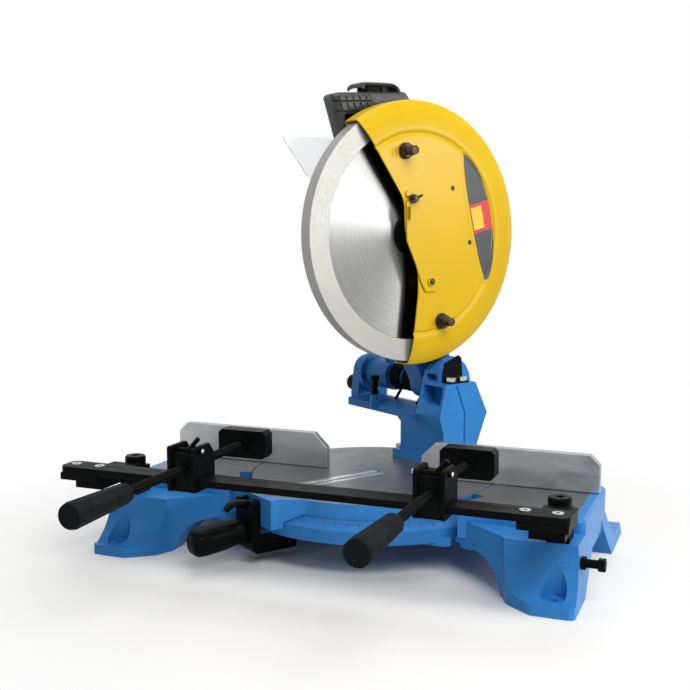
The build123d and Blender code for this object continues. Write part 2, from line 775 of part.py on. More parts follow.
def turntable():
    """Round table with an arm over the skirt, a kerf and seats for the two kerf plates."""
    low_z = well_floor_z + turn_gap
    shape = rod_z(turntable_r, (low_z, table_z))
    shape = shape - (rod_z(turntable_r - wall, (0, table_z - table_plate)) - rod_z(hub_boss_r, (0, reach)))
    for angle in (0, 60, 120):
        rib = block((-turntable_r + 1, turntable_r - 1), (-rib_thick / 2, rib_thick / 2),
                    (low_z + 6, table_z - 1))
        shape = shape + Rot(0, 0, angle) * rib
    plan = [(-arm_half, arm_front), (arm_half, arm_front), (arm_half, arm_front + 12),
            (arm_root_half, arm_root_y), (-arm_root_half, arm_root_y), (-arm_half, arm_front + 12)]
    clear_r = skirt_r + skirt_gap
    skirt = spun_z([(0, 0), (clear_r, 0), (clear_r, skirt_edge_z + skirt_gap),
                    (well_r, skirt_top_z + skirt_gap), (0, skirt_top_z + skirt_gap)])
    shape = shape + (prism_z(plan, (arm_low_z, table_z)) - skirt)
    seat = kerf_half + kerf_plate_wide + seat_gap
    shape = shape - block((-seat, seat), (kerf_front - seat_gap, kerf_back + seat_gap),
                          (table_z - kerf_plate_thick, reach))
    slot = kerf_half + 4
    shape = shape - block((-slot, slot), (kerf_front + 8, kerf_back - 4), (kerf_floor_z, reach))
    shape = shape - block((-slot, slot), (kerf_front + 8, -hub_boss_r), (skirt_top_z, reach))
    for at in post_bolt_places():
        shape = shape - rod_z(post_bolt_r, (table_z - table_plate - 1, reach), at)
    return shape - rod_z(pivot_bolt_r + running_fit, (0, kerf_floor_z - 4 + turn_gap))


def kerf_plates():
    plates = []
    for side in (-1, 1):
        x = sorted((side * kerf_half, side * (kerf_half + kerf_plate_wide)))
        plates.append(block(x, (kerf_front, kerf_back), (table_z - kerf_plate_thick, table_z)))
    return plates


def handle_bracket():
    """Upright plate at the arm's end with a shoe under the skirt, a bore for the grip and a lever slot."""
    x = (-bracket_half, bracket_half)
    side = [(bracket_front, bracket_top_z), (bracket_front, bracket_low_z + 8),
            (bracket_front + 8, bracket_low_z), (shoe_back, bracket_low_z),
            (shoe_back, bracket_low_z + shoe_thick), (arm_front, bracket_low_z + shoe_thick),
            (arm_front, bracket_top_z)]
    shape = prism_x(side, x)
    shape = chamfer(shape.edges().filter_by(Axis.Y).group_by(Axis.Z)[-1], 4.0)
    slot = lever_half + turn_gap
    shape = shape - block((-slot, slot), (-reach, 0), (lever_z - 3, reach))
    shape = shape - gripped * rod_y(mitre_stud_r + running_fit, (-2, bracket_thick - 2))
    return shape - rod_x(lever_pin_r + running_fit, (-bracket_half + 4, bracket_half - 4), lever_pin_at())


def lever_pin_at():
    """Place of the lever's pin, as (y, z), in the middle of the bracket's plate."""
    return (arm_front - bracket_thick / 2, lever_z + lever_thick / 2)


def mitre_grip():
    """Tapered grip on a threaded stud; its axis droops a little."""
    long = mitre_grip_long
    profile = [(0, 0), (mitre_grip_root_r, 0), (mitre_grip_root_r, 6), (mitre_grip_r, long * 0.8),
               (mitre_grip_r, long - 4), (mitre_grip_r - 4, long), (0, long)]
    gap = turn_gap + mitre_grip_root_r * sin(radians(grip_droop))
    grip = Pos(0, -gap, 0) * Rot(90, 0, 0) * spun_z(profile)
    return gripped * (grip + rod_y(mitre_stud_r, (-gap - 1, bracket_thick - 3)))


def detent_lever():
    """Flat tongue on a cross pin."""
    middle = lever_pin_at()
    side = [(lever_out, lever_z), (arm_front - 1, lever_z), (arm_front - 1, lever_z + lever_thick),
            (lever_out, lever_z + lever_thick)]
    tongue = prism_x(side, (-lever_half, lever_half), 2.0)
    return tongue + rod_x(lever_pin_r, (-bracket_half + 5, bracket_half - 5), middle)


def post_bolt_places():
    places = []
    for x in (post_flange_x[0] + 8, post_flange_x[1] - 8):
        for y in (post_flange_y[0] + 12, post_flange_y[1] - 12):
            places.append((x, y))
    return places


def hinge_post():
    """Cast post: flange and column, a cross web to the far ear, the near ear, a box with a flat platform."""
    flange_top = table_z + post_flange_thick
    shape = block(post_flange_x, post_flange_y, (table_z, flange_top))
    shape = shape + block(post_column_x, post_column_y, (flange_top - 1, web_low_z + 4))
    box = [(platform_y[0], platform_z), (box_waist_y[0], box_waist_z), (post_column_y[0], web_low_z - 8),
           (post_column_y[0], flange_top - 1), (post_column_y[1], flange_top - 1),
           (box_waist_y[1], box_waist_z), (platform_y[1], platform_z)]
    shape = shape + prism_x(box, box_x)
    near_ear_x = (box_x[0] - ear_thick, box_x[0] + 1)
    ear = [(hinge_y - ear_r, hinge_z), (box_waist_y[0], box_waist_z), (post_column_y[0], web_low_z),
           (post_column_y[1], web_low_z), (box_waist_y[1], box_waist_z), (hinge_y + ear_r, hinge_z)]
    shape = shape + prism_x(ear, near_ear_x) + rod_x(ear_r, near_ear_x, (hinge_y, hinge_z))
    web = [(web_y[0], web_low_z), (web_y[0], web_top_z - 8), (hinge_y, web_top_z), (web_y[1], web_top_z - 8),
           (web_y[1], web_low_z)]
    shape = shape + prism_x(web, (left_ear_x[0], box_x[0] + 1))
    gusset = [(post_column_x[0] + 1, flange_top + 14), (post_column_x[0] + 1, web_low_z + 2),
              (post_column_x[0] - 50, web_low_z + 2), (post_column_x[0] - 44, web_low_z - 8)]
    shape = shape + prism_y(gusset, (hinge_y - 20, hinge_y + 2))
    shape = shape + link_x((hinge_y, hinge_z), left_ear_r, (hinge_y, web_top_z), left_ear_r + 5, left_ear_x)
    lower_cut = block(left_ear_x, (0, reach), (0, web_low_z))
    shape = shape - (lower_cut & rod_x(left_ear_r + 6, left_ear_x, (hinge_y, web_top_z)))
    pocket_x = (left_ear_x[0] - 1, left_ear_x[0] + ear_rim)
    pocket = rod_x(left_ear_r - ear_rim, pocket_x, (hinge_y, hinge_z))
    pocket = pocket - rod_x(pin_r + ear_rim + 2, pocket_x, (hinge_y, hinge_z))
    shape = shape - (pocket & block(pocket_x, (0, reach), (hinge_z + 2, reach)))
    shape = shape + block((near_ear_x[0], ear_box_x), ear_box_y, (platform_z - 1, ear_box_z))
    pocket_x = (near_ear_x[0] + post_wall, box_x[1] - post_wall)
    pocket_z = (platform_z - post_wall - pocket_tall, platform_z - post_wall)
    shape = shape - prism_y(box_corners(pocket_x, pocket_z), (0, platform_y[0] + pocket_deep), post_wall)
    pocket_x = (near_ear_x[0] + post_wall, ear_box_x - post_wall)
    pocket_z = (platform_z + 2, ear_box_z - post_wall)
    shape = shape - prism_y(box_corners(pocket_x, pocket_z), (0, ear_box_y[1] - post_wall), post_wall - 1)
    wedge = [(platform_y[0] + 20, platform_z - 3), (platform_y[1] - 2, platform_z - 3),
             (box_waist_y[1] - 3, box_waist_z), (post_column_y[1] - 1, flange_top + 12),
             (hinge_y - 8, flange_top + 12), (hinge_y - 8, box_waist_z + 4)]
    shape = shape + prism_x(wedge, (box_x[1] - 1, box_x[1] + 2))
    shape = shape + rod_z(stop_boss_r, (web_low_z + 4, stop_boss_z), (stop_bolt_x, stop_bolt_y))
    shape = shape - rod_z(stop_bolt_r, (web_low_z + 10, reach), (stop_bolt_x, stop_bolt_y))
    shape = shape - rod_x(pin_r + seat_gap / 10, (left_ear_x[0] - 1, box_x[0] + pin_deep), (hinge_y, hinge_z))
    lock_at = (hinge_y + lock_y, hinge_z + lock_z)
    shape = shape - rod_x(lock_pin_r + running_fit, (left_ear_x[0] - 1, left_ear_x[1] + 1), lock_at)
    for at in post_bolt_places():
        shape = shape - rod_z(post_bolt_r + seat_gap, (0, flange_top + 1), at)
    for at in plate_bolt_places():
        shape = shape - rod_z(small_bolt_r, (platform_z - 14, reach), at)
    leg_top, leg_tip = coil_leg_points()
    for x in (coil_x, coil_x + 2 * (peg_x - coil_x)):
        shape = shape - rod_to(coil_wire / 2 + turn_gap, (x, *leg_top), (x, *leg_tip))
    return shape


def post_bolts():
    top_z = table_z + post_flange_thick
    return [hex_bolt_z(post_bolt_r, post_bolt_hex_r, 7.0, (table_z - table_plate + 1, top_z), at)
            for at in post_bolt_places()]


def hinge_pin():
    at = (hinge_y, hinge_z)
    pin = rod_x(pin_r, (left_ear_x[0] - 1, box_x[0] + pin_deep), at)
    return pin + rod_x(pin_head_r, (left_ear_x[0] - pin_head, left_ear_x[0]), at)


def plate_bolt_places():
    x = chip_foot_x[1] - small_hex_r + 0.5
    return [(x, chip_upright[0][0] + 9), (x, chip_upright[-1][0] - 9)]


def chip_plate():
    """Bent sheet on the platform: a foot and an upright beside the guard."""
    foot_y = (chip_upright[0][0], chip_upright[-1][0])
    upright = [(y, platform_z + z) for y, z in chip_upright]
    shape = prism_x(upright, (chip_foot_x[0], chip_foot_x[0] + chip_sheet))
    shape = shape + block(chip_foot_x, foot_y, (platform_z, platform_z + chip_sheet))
    for at in plate_bolt_places():
        shape = shape - rod_z(small_bolt_r + seat_gap, (0, reach), at)
    return shape


def plate_bolts():
    top_z = platform_z + chip_sheet
    return [hex_bolt_z(small_bolt_r, small_hex_r, small_head, (platform_z - 12, top_z), at)
            for at in plate_bolt_places()]


def stop_bolt():
    """Depth stop: a bolt with its lock nut."""
    at = (stop_bolt_x, stop_bolt_y)
    bolt = hex_bolt_z(stop_bolt_r, small_hex_r, stop_head, (web_low_z + 12, stop_top_z - stop_head), at)
    nut = hex_z(small_hex_r, (stop_boss_z, stop_boss_z + 6), at)
    return [bolt, nut - rod_z(stop_bolt_r + seat_gap / 4, (0, reach), at)]


def lock_knob():
    """Knob and pin that hold the head down or up."""
    at = (hinge_y + lock_y, hinge_z + lock_z)
    out = left_ear_x[0] - 12 - turn_gap
    end = out - lock_knob_long
    knob = spun_x([(end, 0), (end, lock_knob_r - 2), (end + 2, lock_knob_r), (out - 3, lock_knob_r),
                   (out, lock_knob_r - 3), (out, 0)], at)
    return knob + rod_x(lock_pin_r, (out - 1, left_ear_x[1] - 1), at)


# Return spring, round the hinge pin

def coil_leg_points():
    """Both ends of a spring leg, as (y, z): where it leaves the coil and its tip in the web."""
    angle = radians(coil_leg_angle)
    start = (hinge_y + coil_r * cos(angle), hinge_z + coil_r * sin(angle))
    return start, (start[0] + coil_leg * sin(angle), start[1] - coil_leg * cos(angle))


def biarc(p, p_way, q, q_way):
    """Two arcs from p to q that leave and arrive along the given unit directions."""
    across = q - p
    both = p_way + q_way
    bend = 2 * (1 - p_way.dot(q_way))
    along = across.dot(both)
    d = (sqrt(along * along + bend * across.dot(across)) - along) / bend
    near = p + p_way * d
    far = q - q_way * d
    middle = (near + far) * 0.5
    return [TangentArc(p, middle, tangent=p_way), TangentArc(middle, q, tangent=far - near)]


def coil_arcs(x, start, turn, hand, first_way, last_way):
    """One coil in quarter turns: from an angle, through an angle, wound up (1) or back (-1)."""
    count = ceil(turn / 90)
    arcs = []
    place = None
    for i in range(count + 1):
        angle = radians(start + hand * turn * i / count)
        along = x + coil_pitch * turn / 360 * i / count
        spot = Vector(along, hinge_y + coil_r * cos(angle), hinge_z + coil_r * sin(angle))
        way = Vector(coil_pitch / (2 * pi * coil_r), -hand * sin(angle), hand * cos(angle)).normalized()
        way = first_way if i == 0 else last_way if i == count else way
        if place is not None:
            arcs.extend(biarc(place, place_way, spot, way))
        place, place_way = spot, way
    return arcs


def return_spring():
    """Double torsion spring: leg, coil, middle loop, coil, leg, as one wire."""
    leg_top, leg_tip = coil_leg_points()
    angle = radians(coil_leg_angle)
    up = Vector(0, 0, 1)
    leg_way = Vector(0, -sin(angle), cos(angle))
    turn = 360 * coil_turns - coil_leg_angle
    right_x = coil_turn_x + coil_loop_wide
    end_x = right_x + coil_pitch * turn / 360
    back = hinge_y + coil_r
    loop_z = hinge_z + coil_loop
    edges = [Line((coil_x, *leg_tip), (coil_x, *leg_top))]
    edges += coil_arcs(coil_x, coil_leg_angle, turn, 1, leg_way, up)
    edges.append(Line((coil_turn_x, back, hinge_z), (coil_turn_x, back, loop_z)))
    edges.append(ThreePointArc((coil_turn_x, back, loop_z), (peg_x, back, loop_z + coil_loop_wide / 2),
                               (right_x, back, loop_z)))
    edges.append(Line((right_x, back, loop_z), (right_x, back, hinge_z)))
    edges += coil_arcs(right_x, 0, turn, -1, up * -1, leg_way * -1)
    edges.append(Line((end_x, *leg_top), (end_x, *leg_tip)))
    path = Wire([edge for line in edges for edge in line.edges()])
    print("spring wire least gap to itself", round(coil_gap(edges), 2))
    section = Plane((coil_x, *leg_tip), z_dir=leg_way) * Circle(coil_wire / 2)
    return sweep(section, path)


def coil_gap(edges):
    """Least clear distance between stretches of the wire that are over two wires apart along it."""
    points = []
    way = 0.0
    for line in edges:
        steps = max(2, ceil(line.length / 1.5))
        points += [(way + line.length * i / steps, line.position_at(i / steps)) for i in range(steps)]
        way += line.length
    least = reach
    for i, (here, a) in enumerate(points):
        for there, b in points[i + 1:]:
            if there - here > 4 * coil_wire:
                least = min(least, (a - b).length)
    return least - coil_wire


# Head, drawn round the blade centre

def head_arm():
    """Casting from the hinge to the gear housing, with the lock disc, stop lug and spring peg on its hub."""
    shape = hinged * rod_x(hub_r, hub_x)
    shape = shape + hinged * rod_x(lock_disc_r, (hub_x[0], hub_x[0] + lock_disc_thick))
    shape = shape + hinged * rod_x(drum_r, (hub_x[0], drum_end_x))
    shape = shape + hinged * rod_x(arm_hub_r, (arm_hub_x, hub_x[1]))
    shape = shape + link_x(hinge, arm_hub_r, (0.0, 0.0), housing_r, (housing_x[0], arm_web_x))
    shape = shape + link_x((0.0, 0.0), housing_r, motor, pinion_pocket_r + housing_wall, housing_x)
    shape = shape + rod_x(nose_r, (housing_x[1] - 1, nose_x))
    stop = (stop_bolt_x, stop_top_z - hinge_z + turn_gap)
    lug = block((stop[0] - 6, stop[0] + 6), (stop_bolt_y - hinge_y - 7, -hub_r + 6), (stop[1], stop[1] + 11))
    shape = shape + hinged * Rot(-head_swing, 0, 0) * lug
    shape = shape + hinged * rod_y(peg_r, (hub_r / 4, coil_r + coil_wire), (peg_x, coil_loop))
    inner_x = (housing_x[0] - 1, housing_x[1] - housing_front_wall)
    shape = shape - link_x((0.0, 0.0), housing_r - housing_wall, motor, pinion_pocket_r, inner_x)
    shape = shape - rod_x(spindle_bearing[1], (-reach, spindle_bearing_x[1]))
    shape = shape - rod_x(arbor_r + 1.5, (-reach, 0))
    shape = shape - hinged * rod_x(pin_r + running_fit, (-reach, reach))
    hole = rod_x(lock_pin_r + turn_gap, (-reach, hub_x[0] + lock_disc_thick + 4), (lock_y, lock_z))
    return shape - hinged * hole - hinged * Rot(-head_swing, 0, 0) * hole


def gear_cover():
    """Rear cover of the gear housing, with both rear bearing seats and the motor's round flange."""
    shape = link_x((0.0, 0.0), housing_r, motor, pinion_pocket_r + housing_wall, cover_x)
    shape = shape + rod_x(motor_r, (cover_x[0], cover_x[0] + 8), motor)
    shape = shape - rod_x(tail_bearing[1], (tail_bearing_x[0], reach))
    shape = shape - rod_x(drive_bearing[1], (drive_bearing_x[0], reach), motor)
    return shape - rod_x(drive_bearing[0] + 1.5, (-reach, reach), motor)


def motor_housing():
    tube = rod_x(motor_r, motor_x, motor)
    boss = rod_z(brush_cap_r + 3, (motor[1] - motor_r - 2, motor[1] + motor_r + 2), (brush_x, motor[0]))
    tube = tube + boss
    tube = tube - rod_x(motor_r - motor_wall, (-reach, reach), motor)
    return tube - rod_z(brush_plug_r + seat_gap, (-reach, reach), (brush_x, motor[0]))


def motor_cap():
    """End cap with air slots and the seat of the rear motor bearing."""
    out = motor_x[0] - motor_cap_thick
    profile = [(out, 0), (out, motor_r - 8), (out + 8, motor_r), (motor_x[0], motor_r), (motor_x[0], 0)]
    cap = spun_x(profile, motor)
    cap = cap + rod_x(motor_bearing[1] + 5, (motor_x[0] - 1, motor_bearing_x[1]), motor)
    cap = cap - rod_x(motor_bearing[1], (motor_bearing_x[0], reach), motor)
    for i in range(8):
        slot = block((-reach, motor_x[0] + 1), (motor_bearing[1] + 8, motor_r - 10), (-2.5, 2.5))
        cap = cap - Pos(0, *motor) * Rot(45 * i, 0, 0) * slot
    return cap


def stator():
    return rod_x(motor_r - motor_wall, stator_x, motor) - rod_x(stator_in_r, (-reach, reach), motor)


def bearing(sizes, x, at):
    """Bearing as one closed ring."""
    return rod_x(sizes[1], x, at) - rod_x(sizes[0] + running_fit, (-reach, reach), at)


def bearings():
    return [bearing(spindle_bearing, spindle_bearing_x, (0.0, 0.0)),
            bearing(tail_bearing, tail_bearing_x, (0.0, 0.0)),
            bearing(drive_bearing, drive_bearing_x, motor),
            bearing(motor_bearing, motor_bearing_x, motor)]


def brush_caps():
    caps = []
    for side in (-1, 1):
        face = motor_r + 2
        plug = rod_z(brush_plug_r, (motor_r - 8, face + 1))
        cap = rod_z(brush_cap_r, (face, face + brush_cap))
        cap = cap - block((-brush_cap_r, brush_cap_r), (-1, 1), (face + brush_cap - 1.5, reach))
        caps.append(Pos(brush_x, motor[0], motor[1]) * Rot(90 - 90 * side, 0, 0) * (plug + cap))
    return caps


def guard_keep():
    """The part of the round guard behind its front edge."""
    front_y = guard_corner[0] + guard_front_run[0]
    front_z = guard_corner[1] + guard_front_run[1]
    far = guard_r + 20
    outline = [(front_y, front_z), guard_corner, *guard_edge, (guard_low_y, -far), (far, -far),
               (far, front_z + far), (front_y, front_z + far)]
    return prism_x(outline, (guard_back_x - 1, guard_face_x + 10), guard_round)


def upper_guard():
    """Pressed sheet guard: face with a ring groove, sloping band, rim and back plate, open to the front."""
    t = guard_sheet
    x = guard_face_x
    r = guard_face_r
    g = guard_groove
    outer = [(x, 0), (x, r), (x - g, r + 2), (x - g, r + 4.5), (x + 0.4, r + 7), (x - 0.4, r + 11),
             (guard_rim_x + 1.5, guard_slope_r), (guard_rim_x - 1, guard_r), (guard_back_x, guard_r),
             (guard_back_x, guard_hole_r)]
    inner = [(guard_back_x + t, guard_hole_r), (guard_back_x + t, guard_r - t),
             (guard_rim_x - 1 - t, guard_r - t), (guard_rim_x + 1.5 - t, guard_slope_r - 0.6),
             (x - 0.4 - t, r + 10.5), (x + 0.3 - t, r + 7.7),
             (x - g - t, r + 5.3), (x - g - t, r + 1.2), (x - t, r - 1), (x - t, 0)]
    shape = spun_x(outer + inner) & guard_keep()
    shape = shape - rod_x(guard_window_r, (0, reach))
    for at in stud_at:
        shape = shape - rod_x(stud_r, (0, reach), at)
    shape = shape - rod_x(cover_rivet_r + running_fit, (0, reach), cover_rivet)
    for at in guard_small_holes:
        shape = shape - rod_x(guard_small_hole_r, (0, reach), at)
    return shape - rod_x(wing_r + running_fit, (0, reach), wing_at)


def guard_bolts():
    """Two studs through the guard's face, with nuts."""
    studs = []
    inner_x = guard_face_x - guard_sheet
    for at in stud_at:
        stud = rod_x(stud_r, (inner_x - 1, guard_face_x + stud_long), at)
        stud = stud + hex_x(stud_hex_r, (guard_face_x, guard_face_x + 10), at)
        studs.append(stud + rod_x(stud_r + 1.4, (inner_x - 4, inner_x), at))
    return studs


def handle_outline():
    return [handle_front, handle_back, (handle_back[0] + 20, handle_back[1] - 24), *handle_low]


def handle_nose():
    """Long block with a round front, slanted like the front of the handle."""
    plan = Polygon(*box_corners(handle_x, (handle_front[0], reach)))
    plan = fillet(plan.vertices().sort_by(Axis.Y)[:2], handle_nose_r)
    low = handle_low[-1]
    slant = Vector(0, low[0] - handle_front[0], low[1] - handle_front[1]).normalized()
    return extrude(Pos(0, 0, handle_front[1]) * plan, reach / 4, dir=slant, both=True)


def handle_half(x):
    """One half of the D handle, from the split to its side, on top of the gear housing."""
    shape = prism_x(handle_outline(), x, handle_nose_r) - prism_x(finger_gap, x, handle_round)
    outer = shape.faces().filter_by(Axis.X).sort_by(Axis.X)[-1 if x[0] >= handle_split else 0]
    shape = fillet(outer.edges(), handle_round - 1)
    shape = shape & handle_nose()
    shape = shape - rod_x(housing_r + seat_gap, (-reach, reach))
    half = trigger_half + trigger_play
    pocket = block((handle_split - half, handle_split + half), (trigger_pivot[0] - 46, trigger_pivot[0] + 14),
                   (trigger_pivot[1] - 22, trigger_pivot[1] + 12))
    shape = shape - pocket
    shape = shape - rod_x(trigger_pin_r + running_fit, (handle_split - 13, handle_split + 13), trigger_pivot)
    return shape - rod_y(gland_r + seat_gap, (handle_back[0], reach), (handle_split, gland_z))


def trigger():
    """Finger trigger on a cross pin inside the grip."""
    y, z = trigger_pivot
    outline = [(y - 33, z - 22), (y - 26, z - 30), (y - 6, z - 27), (y + 7, z - 8), (y + 7, z + 5),
               (y - 10, z + 5), (y - 33, z - 8)]
    shape = prism_x(outline, (handle_split - trigger_half, handle_split + trigger_half), 3.0)
    return shape + rod_x(trigger_pin_r, (handle_split - 12, handle_split + 12), trigger_pivot)


def handle_top_z(y):
    """Height of the handle's top edge at a place along it."""
    slope = (handle_back[1] - handle_front[1]) / (handle_back[0] - handle_front[0])
    return handle_front[1] + slope * (y - handle_front[0])


def switch_cover():
    """Cap over the top of the handle: a roof, a longer wall on one side and a bent end."""
    y0, y1 = cap_y
    x = (handle_x[0] - cap_sheet, handle_x[1] + cap_sheet)
    z0, z1 = handle_top_z(y0), handle_top_z(y1)
    roof = [(y0, z0 - 4), (y0, z0 + cap_tall - 3), (y0 + 5, z0 + cap_tall), (y1 - 6, z1 + cap_tall),
            (y1, z1 + cap_tall - 8), (y1, z1 - 4)]
    inner = [(y0 - 1, 0), (y0 - 1, handle_top_z(y0 - 1) + seat_gap),
             (y1 + 1, handle_top_z(y1 + 1) + seat_gap), (y1 + 1, 0)]
    return prism_x(roof, x) - prism_x(inner, (handle_x[0] - seat_gap, handle_x[1] + seat_gap))


def chip_shield():
    """Clear plate on the far side of the handle, reaching out in front of the guard."""
    return prism_x(shield_front + shield_root, (handle_x[0] - shield_thick, handle_x[0]), 2.0)


def cord_gland():
    """Gland for the supply lead at the back of the handle."""
    start = handle_back[0] + gland_start
    gland = rod_y(gland_r, (start, start + gland_long), (handle_split, gland_z))
    start = handle_back[0] + gland_collar_start
    collar_r = gland_r + gland_collar_wide
    return gland + rod_y(collar_r, (start, start + gland_collar_long), (handle_split, gland_z))


def lower_guard():
    """Swinging guard: a rim with a flange on the near side and a plate with a hub on the far side."""
    t = guard_sheet
    x0, x1 = -lower_half, lower_half
    bore = nose_r + running_fit
    shape = spun_x([(x0, bore), (x0, lower_r), (x1, lower_r), (x1, lower_in_r), (x1 - t, lower_in_r),
                    (x1 - t, lower_r - t), (x0 + t, lower_r - t), (x0 + t, bore)])
    wedge = prism_x(fan_corners(guard_r, lower_from, lower_to), (x0 - 1, x1 + 1))
    hub = rod_x(nose_r + lower_hub_wide, (x0, x0 + t)) - rod_x(bore, (-reach, reach))
    return (shape & wedge) + hub


def arbor_cover():
    """Plate over the arbor, on a rivet, with a notch for the wing bolt and a small bent tab."""
    y, z = cover_rivet
    outline = [*cover_edge, (y + 17, z + 5), (y + 9, z - 15), (y - 11, z - 15), (y - 20, z + 1),
               *cover_edge_front]
    plate = prism_x(outline, arbor_cover_x, 5.0)
    notch = wing_r + 1.0
    plate = plate - rod_x(notch, (0, reach), wing_at)
    plate = plate - block((0, reach), (-reach, wing_at[0]), (wing_at[1] - notch, wing_at[1] + notch))
    plate = plate + block((arbor_cover_x[0], arbor_cover_x[1] + 8),
                          (guard_corner[0] + 3, guard_corner[0] + 5),
                          (21, 40))
    rivet = rod_x(cover_rivet_r, (guard_face_x - guard_sheet - 2, arbor_cover_x[1] + 1), cover_rivet)
    rivet = rivet + rod_x(cover_rivet_r + 3, (arbor_cover_x[1] - 0.5, arbor_cover_x[1] + 2.5), cover_rivet)
    back_x = guard_face_x - guard_sheet - turn_gap
    return plate + rivet + rod_x(cover_rivet_r + 3, (back_x - 2, back_x), cover_rivet)


def wing_bolt():
    """Wing bolt that holds the arbor cover shut."""
    x = arbor_cover_x[1] + turn_gap
    shape = rod_x(wing_r, (guard_face_x - 5, x + 4), wing_at) + rod_x(wing_r + 4, (x, x + 2), wing_at)
    shape = shape + rod_x(wing_r + 2, (x + 1, x + 9), wing_at)
    for side in (-1, 1):
        z = sorted((wing_at[1], wing_at[1] + side * wing_span))
        shape = shape + block((x + 5, x + 15), (wing_at[0] - 1.5, wing_at[0] + 1.5), z)
    return shape - rod_x(wing_r + 1, (x + 9, reach), wing_at)


# Drive, on the blade's own axis

def toothed(teeth, module, root, tip, phase):
    """Gear outline with straight steps along its involute flanks; the phase turns its first tooth."""
    pitch = module * teeth / 2
    base = pitch * cos(radians(pressure_angle))
    half = (pi * module / 2 - gear_backlash) / 2 / pitch

    def involute(r):
        angle = acos(min(1.0, base / r))
        return tan(angle) - angle

    low = max(base, root)
    flank = [(low + (tip - low) * i / 4) for i in range(5)]
    corners = []
    for i in range(teeth):
        middle = radians(phase) + 2 * pi * i / teeth
        rising = [(r, middle - half - involute(pitch) + involute(r)) for r in flank]
        falling = [(r, middle + half + involute(pitch) - involute(r)) for r in reversed(flank)]
        foot = half + involute(pitch)
        row = [(root, middle - foot)] + rising + falling + [(root, middle + foot)]
        if root >= base:
            row = rising + falling
        corners += [(r * cos(a), r * sin(a)) for r, a in row]
    return corners


def output_gear():
    tip = gear_r + gear_module * 0.7
    phase = motor_angle + 180 / gear_teeth
    x = (gear_x, gear_x + gear_wide)
    gear = prism_x(toothed(gear_teeth, gear_module, gear_r - gear_module * 1.25, tip, phase), x)
    gear = gear - rod_x(spindle_bearing[0], (-reach, reach))
    for i in range(6):
        angle = radians(60 * i)
        gear = gear - rod_x(9.0, (-reach, reach), (gear_r * 0.6 * cos(angle), gear_r * 0.6 * sin(angle)))
    return gear


def spindle():
    """Stepped spindle, drilled for the arbor bolt."""
    nose = arbor_r - running_fit
    seat = spindle_bearing[0]
    shape = rod_x(tail_bearing[0], (tail_bearing_x[0], tail_bearing_x[1]))
    shape = shape + rod_x(seat, (tail_bearing_x[1], spindle_bearing_x[1] + 1))
    shape = shape + rod_x(nose, (spindle_bearing_x[1] + 0.5, outer_flange_x[1] - 4))
    return shape - rod_x(arbor_bolt_r, (spindle_bearing_x[0], reach))


def blade():
    """Round blade with a row of hooked teeth."""
    step = 2 * pi / blade_teeth
    corners = []
    for i in range(blade_teeth):
        for share, drop in ((0.0, 0.0), (0.06, 1.0), (0.35, 1.0), (0.75, 0.25)):
            angle = step * (i + share)
            r = blade_r - drop * blade_gullet
            corners.append((r * cos(angle), r * sin(angle)))
    half = blade_thick / 2
    return prism_x(corners, (-half, half)) - rod_x(arbor_r, (-reach, reach))


def blade_flanges():
    flanges = []
    for x, inner in ((inner_flange_x, -1), (outer_flange_x, 1)):
        face = x[0] if inner > 0 else x[1]
        ring = rod_x(flange_r, x) - rod_x(arbor_r, (-reach, reach))
        relief = sorted((face, face + inner * 1.0))
        flanges.append(ring - rod_x(flange_r - 8, relief))
    return flanges


def arbor_bolt():
    out = outer_flange_x[1]
    shank = rod_x(arbor_bolt_r, (spindle_bearing_x[0] + 4, out + 1))
    return shank + rod_x(arbor_r + 4, (out, out + 2)) + hex_x(arbor_hex_r, (out + 1, out + 6))


def armature():
    """Motor shaft with its core, commutator and pinion."""
    shape = rod_x(motor_bearing[0], (motor_bearing_x[0], fan_x[0] - 2), motor)
    shape = shape + rod_x(drive_bearing[0], (fan_x[0] - 3, gear_x), motor)
    shape = shape + rod_x(stator_in_r - air_gap, stator_x, motor) + rod_x(commutator_r, commutator_x, motor)
    outline = toothed(pinion_teeth, gear_module, pinion_r - gear_module * 1.2, pinion_r + gear_module * 0.9,
                      motor_angle + 180)
    return shape + Pos(0, *motor) * prism_x(outline, (gear_x - 2, gear_x + gear_wide + 2))


def fan():
    hub = rod_x(drive_bearing[0] + 6, fan_x) + rod_x(fan_r, (fan_x[0], fan_x[0] + 2))
    for i in range(fan_vanes):
        vane = block(fan_x, (drive_bearing[0] + 5, fan_r - 1), (-1, 1))
        hub = hub + Rot(360 / fan_vanes * i, 0, 0) * vane
    return Pos(0, *motor) * (hub - rod_x(drive_bearing[0], (-reach, reach)))


# Base and rail
save("base_casting", base_casting())
right_fence = fence_right()
save("fence_right", right_fence)
save("fence_left", mirrored(right_fence))
save("fence_bolts", *fence_bolts())
save("turntable_bolt", turntable_bolt())
right_arm = rail_arm()
save("rail_arm_right", right_arm)
save("rail_arm_left", mirrored(right_arm))
save("clamp_bar", clamp_bar())
save("bar_screws", *bar_screws())
right_knob = rail_knob()
save("rail_knob_right", right_knob)
save("rail_knob_left", mirrored(right_knob))
save("side_stop_screw", side_stop_screw())

# Clamps
for side, side_x in (("left", clamp_left_x), ("right", clamp_right_x)):
    save(f"clamp_bracket_{side}", clamp_bracket(), at=Pos(side_x, 0, 0))
    save(f"clamp_lever_{side}", clamp_lever(), at=Pos(side_x, 0, 0))
    save(f"clamp_pad_{side}", clamp_pad(), at=Pos(side_x, 0, 0))
    save(f"clamp_rod_{side}", clamp_rod(), at=Pos(side_x, 0, 0))
    save(f"clamp_grip_{side}", clamp_grip(), at=Pos(side_x, 0, 0))

